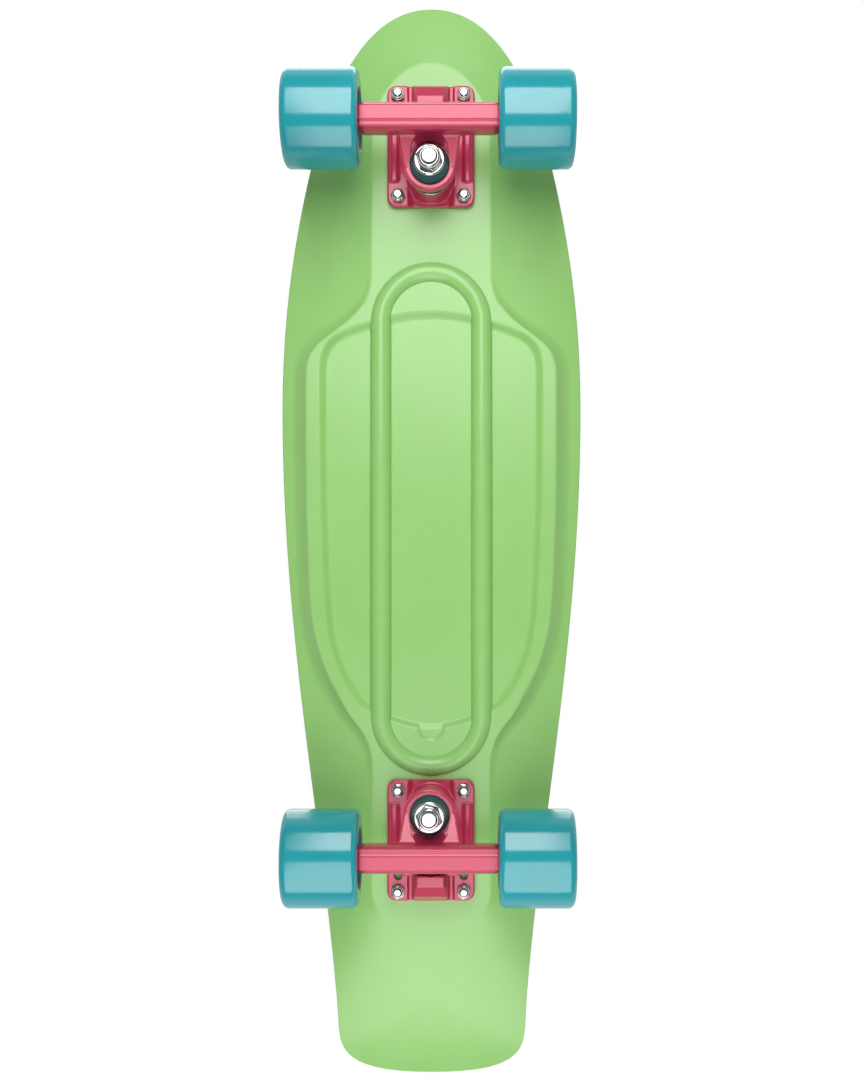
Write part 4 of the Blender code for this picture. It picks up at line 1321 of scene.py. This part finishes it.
bearing_low, bearing_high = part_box("front_right_outer_bearing")
bearing_half = (bearing_high.x - bearing_low.x) / 2
bearing_radius = (bearing_high.z - bearing_low.z) / 2
sunk = bearing_half - 0.0004
shield_in = 0.0062
shield_out = 0.0092
bearing = turned(
    "bearing_pattern",
    [(0.0043, -bearing_half), (shield_in - 0.0001, -bearing_half), (shield_in, -sunk)]
    + [(shield_out, -sunk), (shield_out + 0.0002, -bearing_half)]
    + [(bearing_radius - 0.0004, -bearing_half), (bearing_radius, -bearing_half + 0.0004)]
    + [(bearing_radius, bearing_half - 0.0004), (bearing_radius - 0.0004, bearing_half)]
    + [(shield_out + 0.0002, bearing_half), (shield_out, sunk)]
    + [(0.0080, sunk - 0.0001), (0.0078, sunk), (shield_in, sunk)]
    + [(shield_in - 0.0001, bearing_half), (0.0043, bearing_half), (0.0043, -bearing_half)],
    64,
)
race_steel = plain_finish(
    "bearing_race_steel", (0.42, 0.42, 0.43), (0.60, 0.60, 0.61), 500.0, 0.20, 0.20, 2600.0, 0.00002, 1.0
)
shield = plain_finish(
    "bearing_shield", (0.010, 0.011, 0.012), (0.028, 0.030, 0.032), 700.0, 0.36, 0.20, 2200.0, 0.00003
)
bearing.data.materials.append(race_steel)
bearing.data.materials.append(shield)
for face in bearing.data.polygons:
    reach = math.hypot(face.center.x, face.center.y)
    face.material_index = int(shield_in < reach < shield_out + 0.0001 and abs(face.normal.z) > 0.5)
for bearing_piece in ("outer_bearing", "inner_bearing"):
    fit_wheels(bearing, bearing_piece, True, None)
discard(bearing)

# ---------------------------------------------------------------- wheels
# Cast teal urethane, poured and then turned: a glossy tread with round lips,
# a dished face on each side and a seat for each bearing.

wheel_low, wheel_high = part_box("front_right_wheel")
wheel_half = (wheel_high.x - wheel_low.x) / 2
wheel_radius = (wheel_high.z - wheel_low.z) / 2
seat_radius = bearing_radius + 0.0003
lip_round = 0.0042


def wheel_side(sign):
    """One side's profile, from the shoulder between the bearings out to the tread."""
    mouth_depth = 0.0123
    points = [(0.0090, 0.0047), (seat_radius, 0.0047), (seat_radius, mouth_depth - 0.0003)]
    points += arc(seat_radius + 0.0004, mouth_depth - 0.0004, 0.0004, 180, 90, 2)
    points += [(0.0136, mouth_depth), (0.0142, mouth_depth + 0.0004)]
    points += [(0.0172, wheel_half - 0.0022), (0.0184, wheel_half - 0.0008), (0.0200, wheel_half - 0.0002)]
    points += [(0.0222, wheel_half)]
    points += arc(wheel_radius - lip_round, wheel_half - lip_round, lip_round, 90, 0, 10)
    return [(radius, sign * height) for radius, height in points]


lower_side = wheel_side(-1)
upper_side = wheel_side(1)
wheel = turned("wheel_pattern", lower_side + upper_side[::-1] + lower_side[:1], 128, 38)

teal_finish = Finish("teal_cast_urethane")
teal_cloud = teal_finish.noise(22.0, 2.0)
teal_smear = teal_finish.noise(160.0, 5.0, 0.65)
teal_scuff = teal_finish.ramp(teal_finish.noise(240.0, 8.0, 0.75), 0.60, 0.72)
tool_lines = teal_finish.add(
    "ShaderNodeTexWave",
    {"wave_type": "BANDS", "bands_direction": "X"},
    {"Vector": teal_finish.place, "Scale": 900.0, "Distortion": 1.5, "Detail": 2.0},
)
teal_colour = teal_finish.mix(teal_cloud, rgb(0.006, 0.290, 0.340), rgb(0.010, 0.365, 0.410))
teal_urethane = teal_finish.set(
    Base_Color=teal_finish.mix(0.18 * teal_scuff, teal_colour, rgb(0.10, 0.42, 0.45)),
    Roughness=0.10 + 0.08 * teal_smear + 0.12 * teal_scuff,
    IOR=1.72,
    Normal=teal_finish.bump(tool_lines + 3.0 * teal_smear, 0.000010, 0.4),
)
fit_wheels(wheel, "wheel", True, teal_urethane)
discard(wheel)
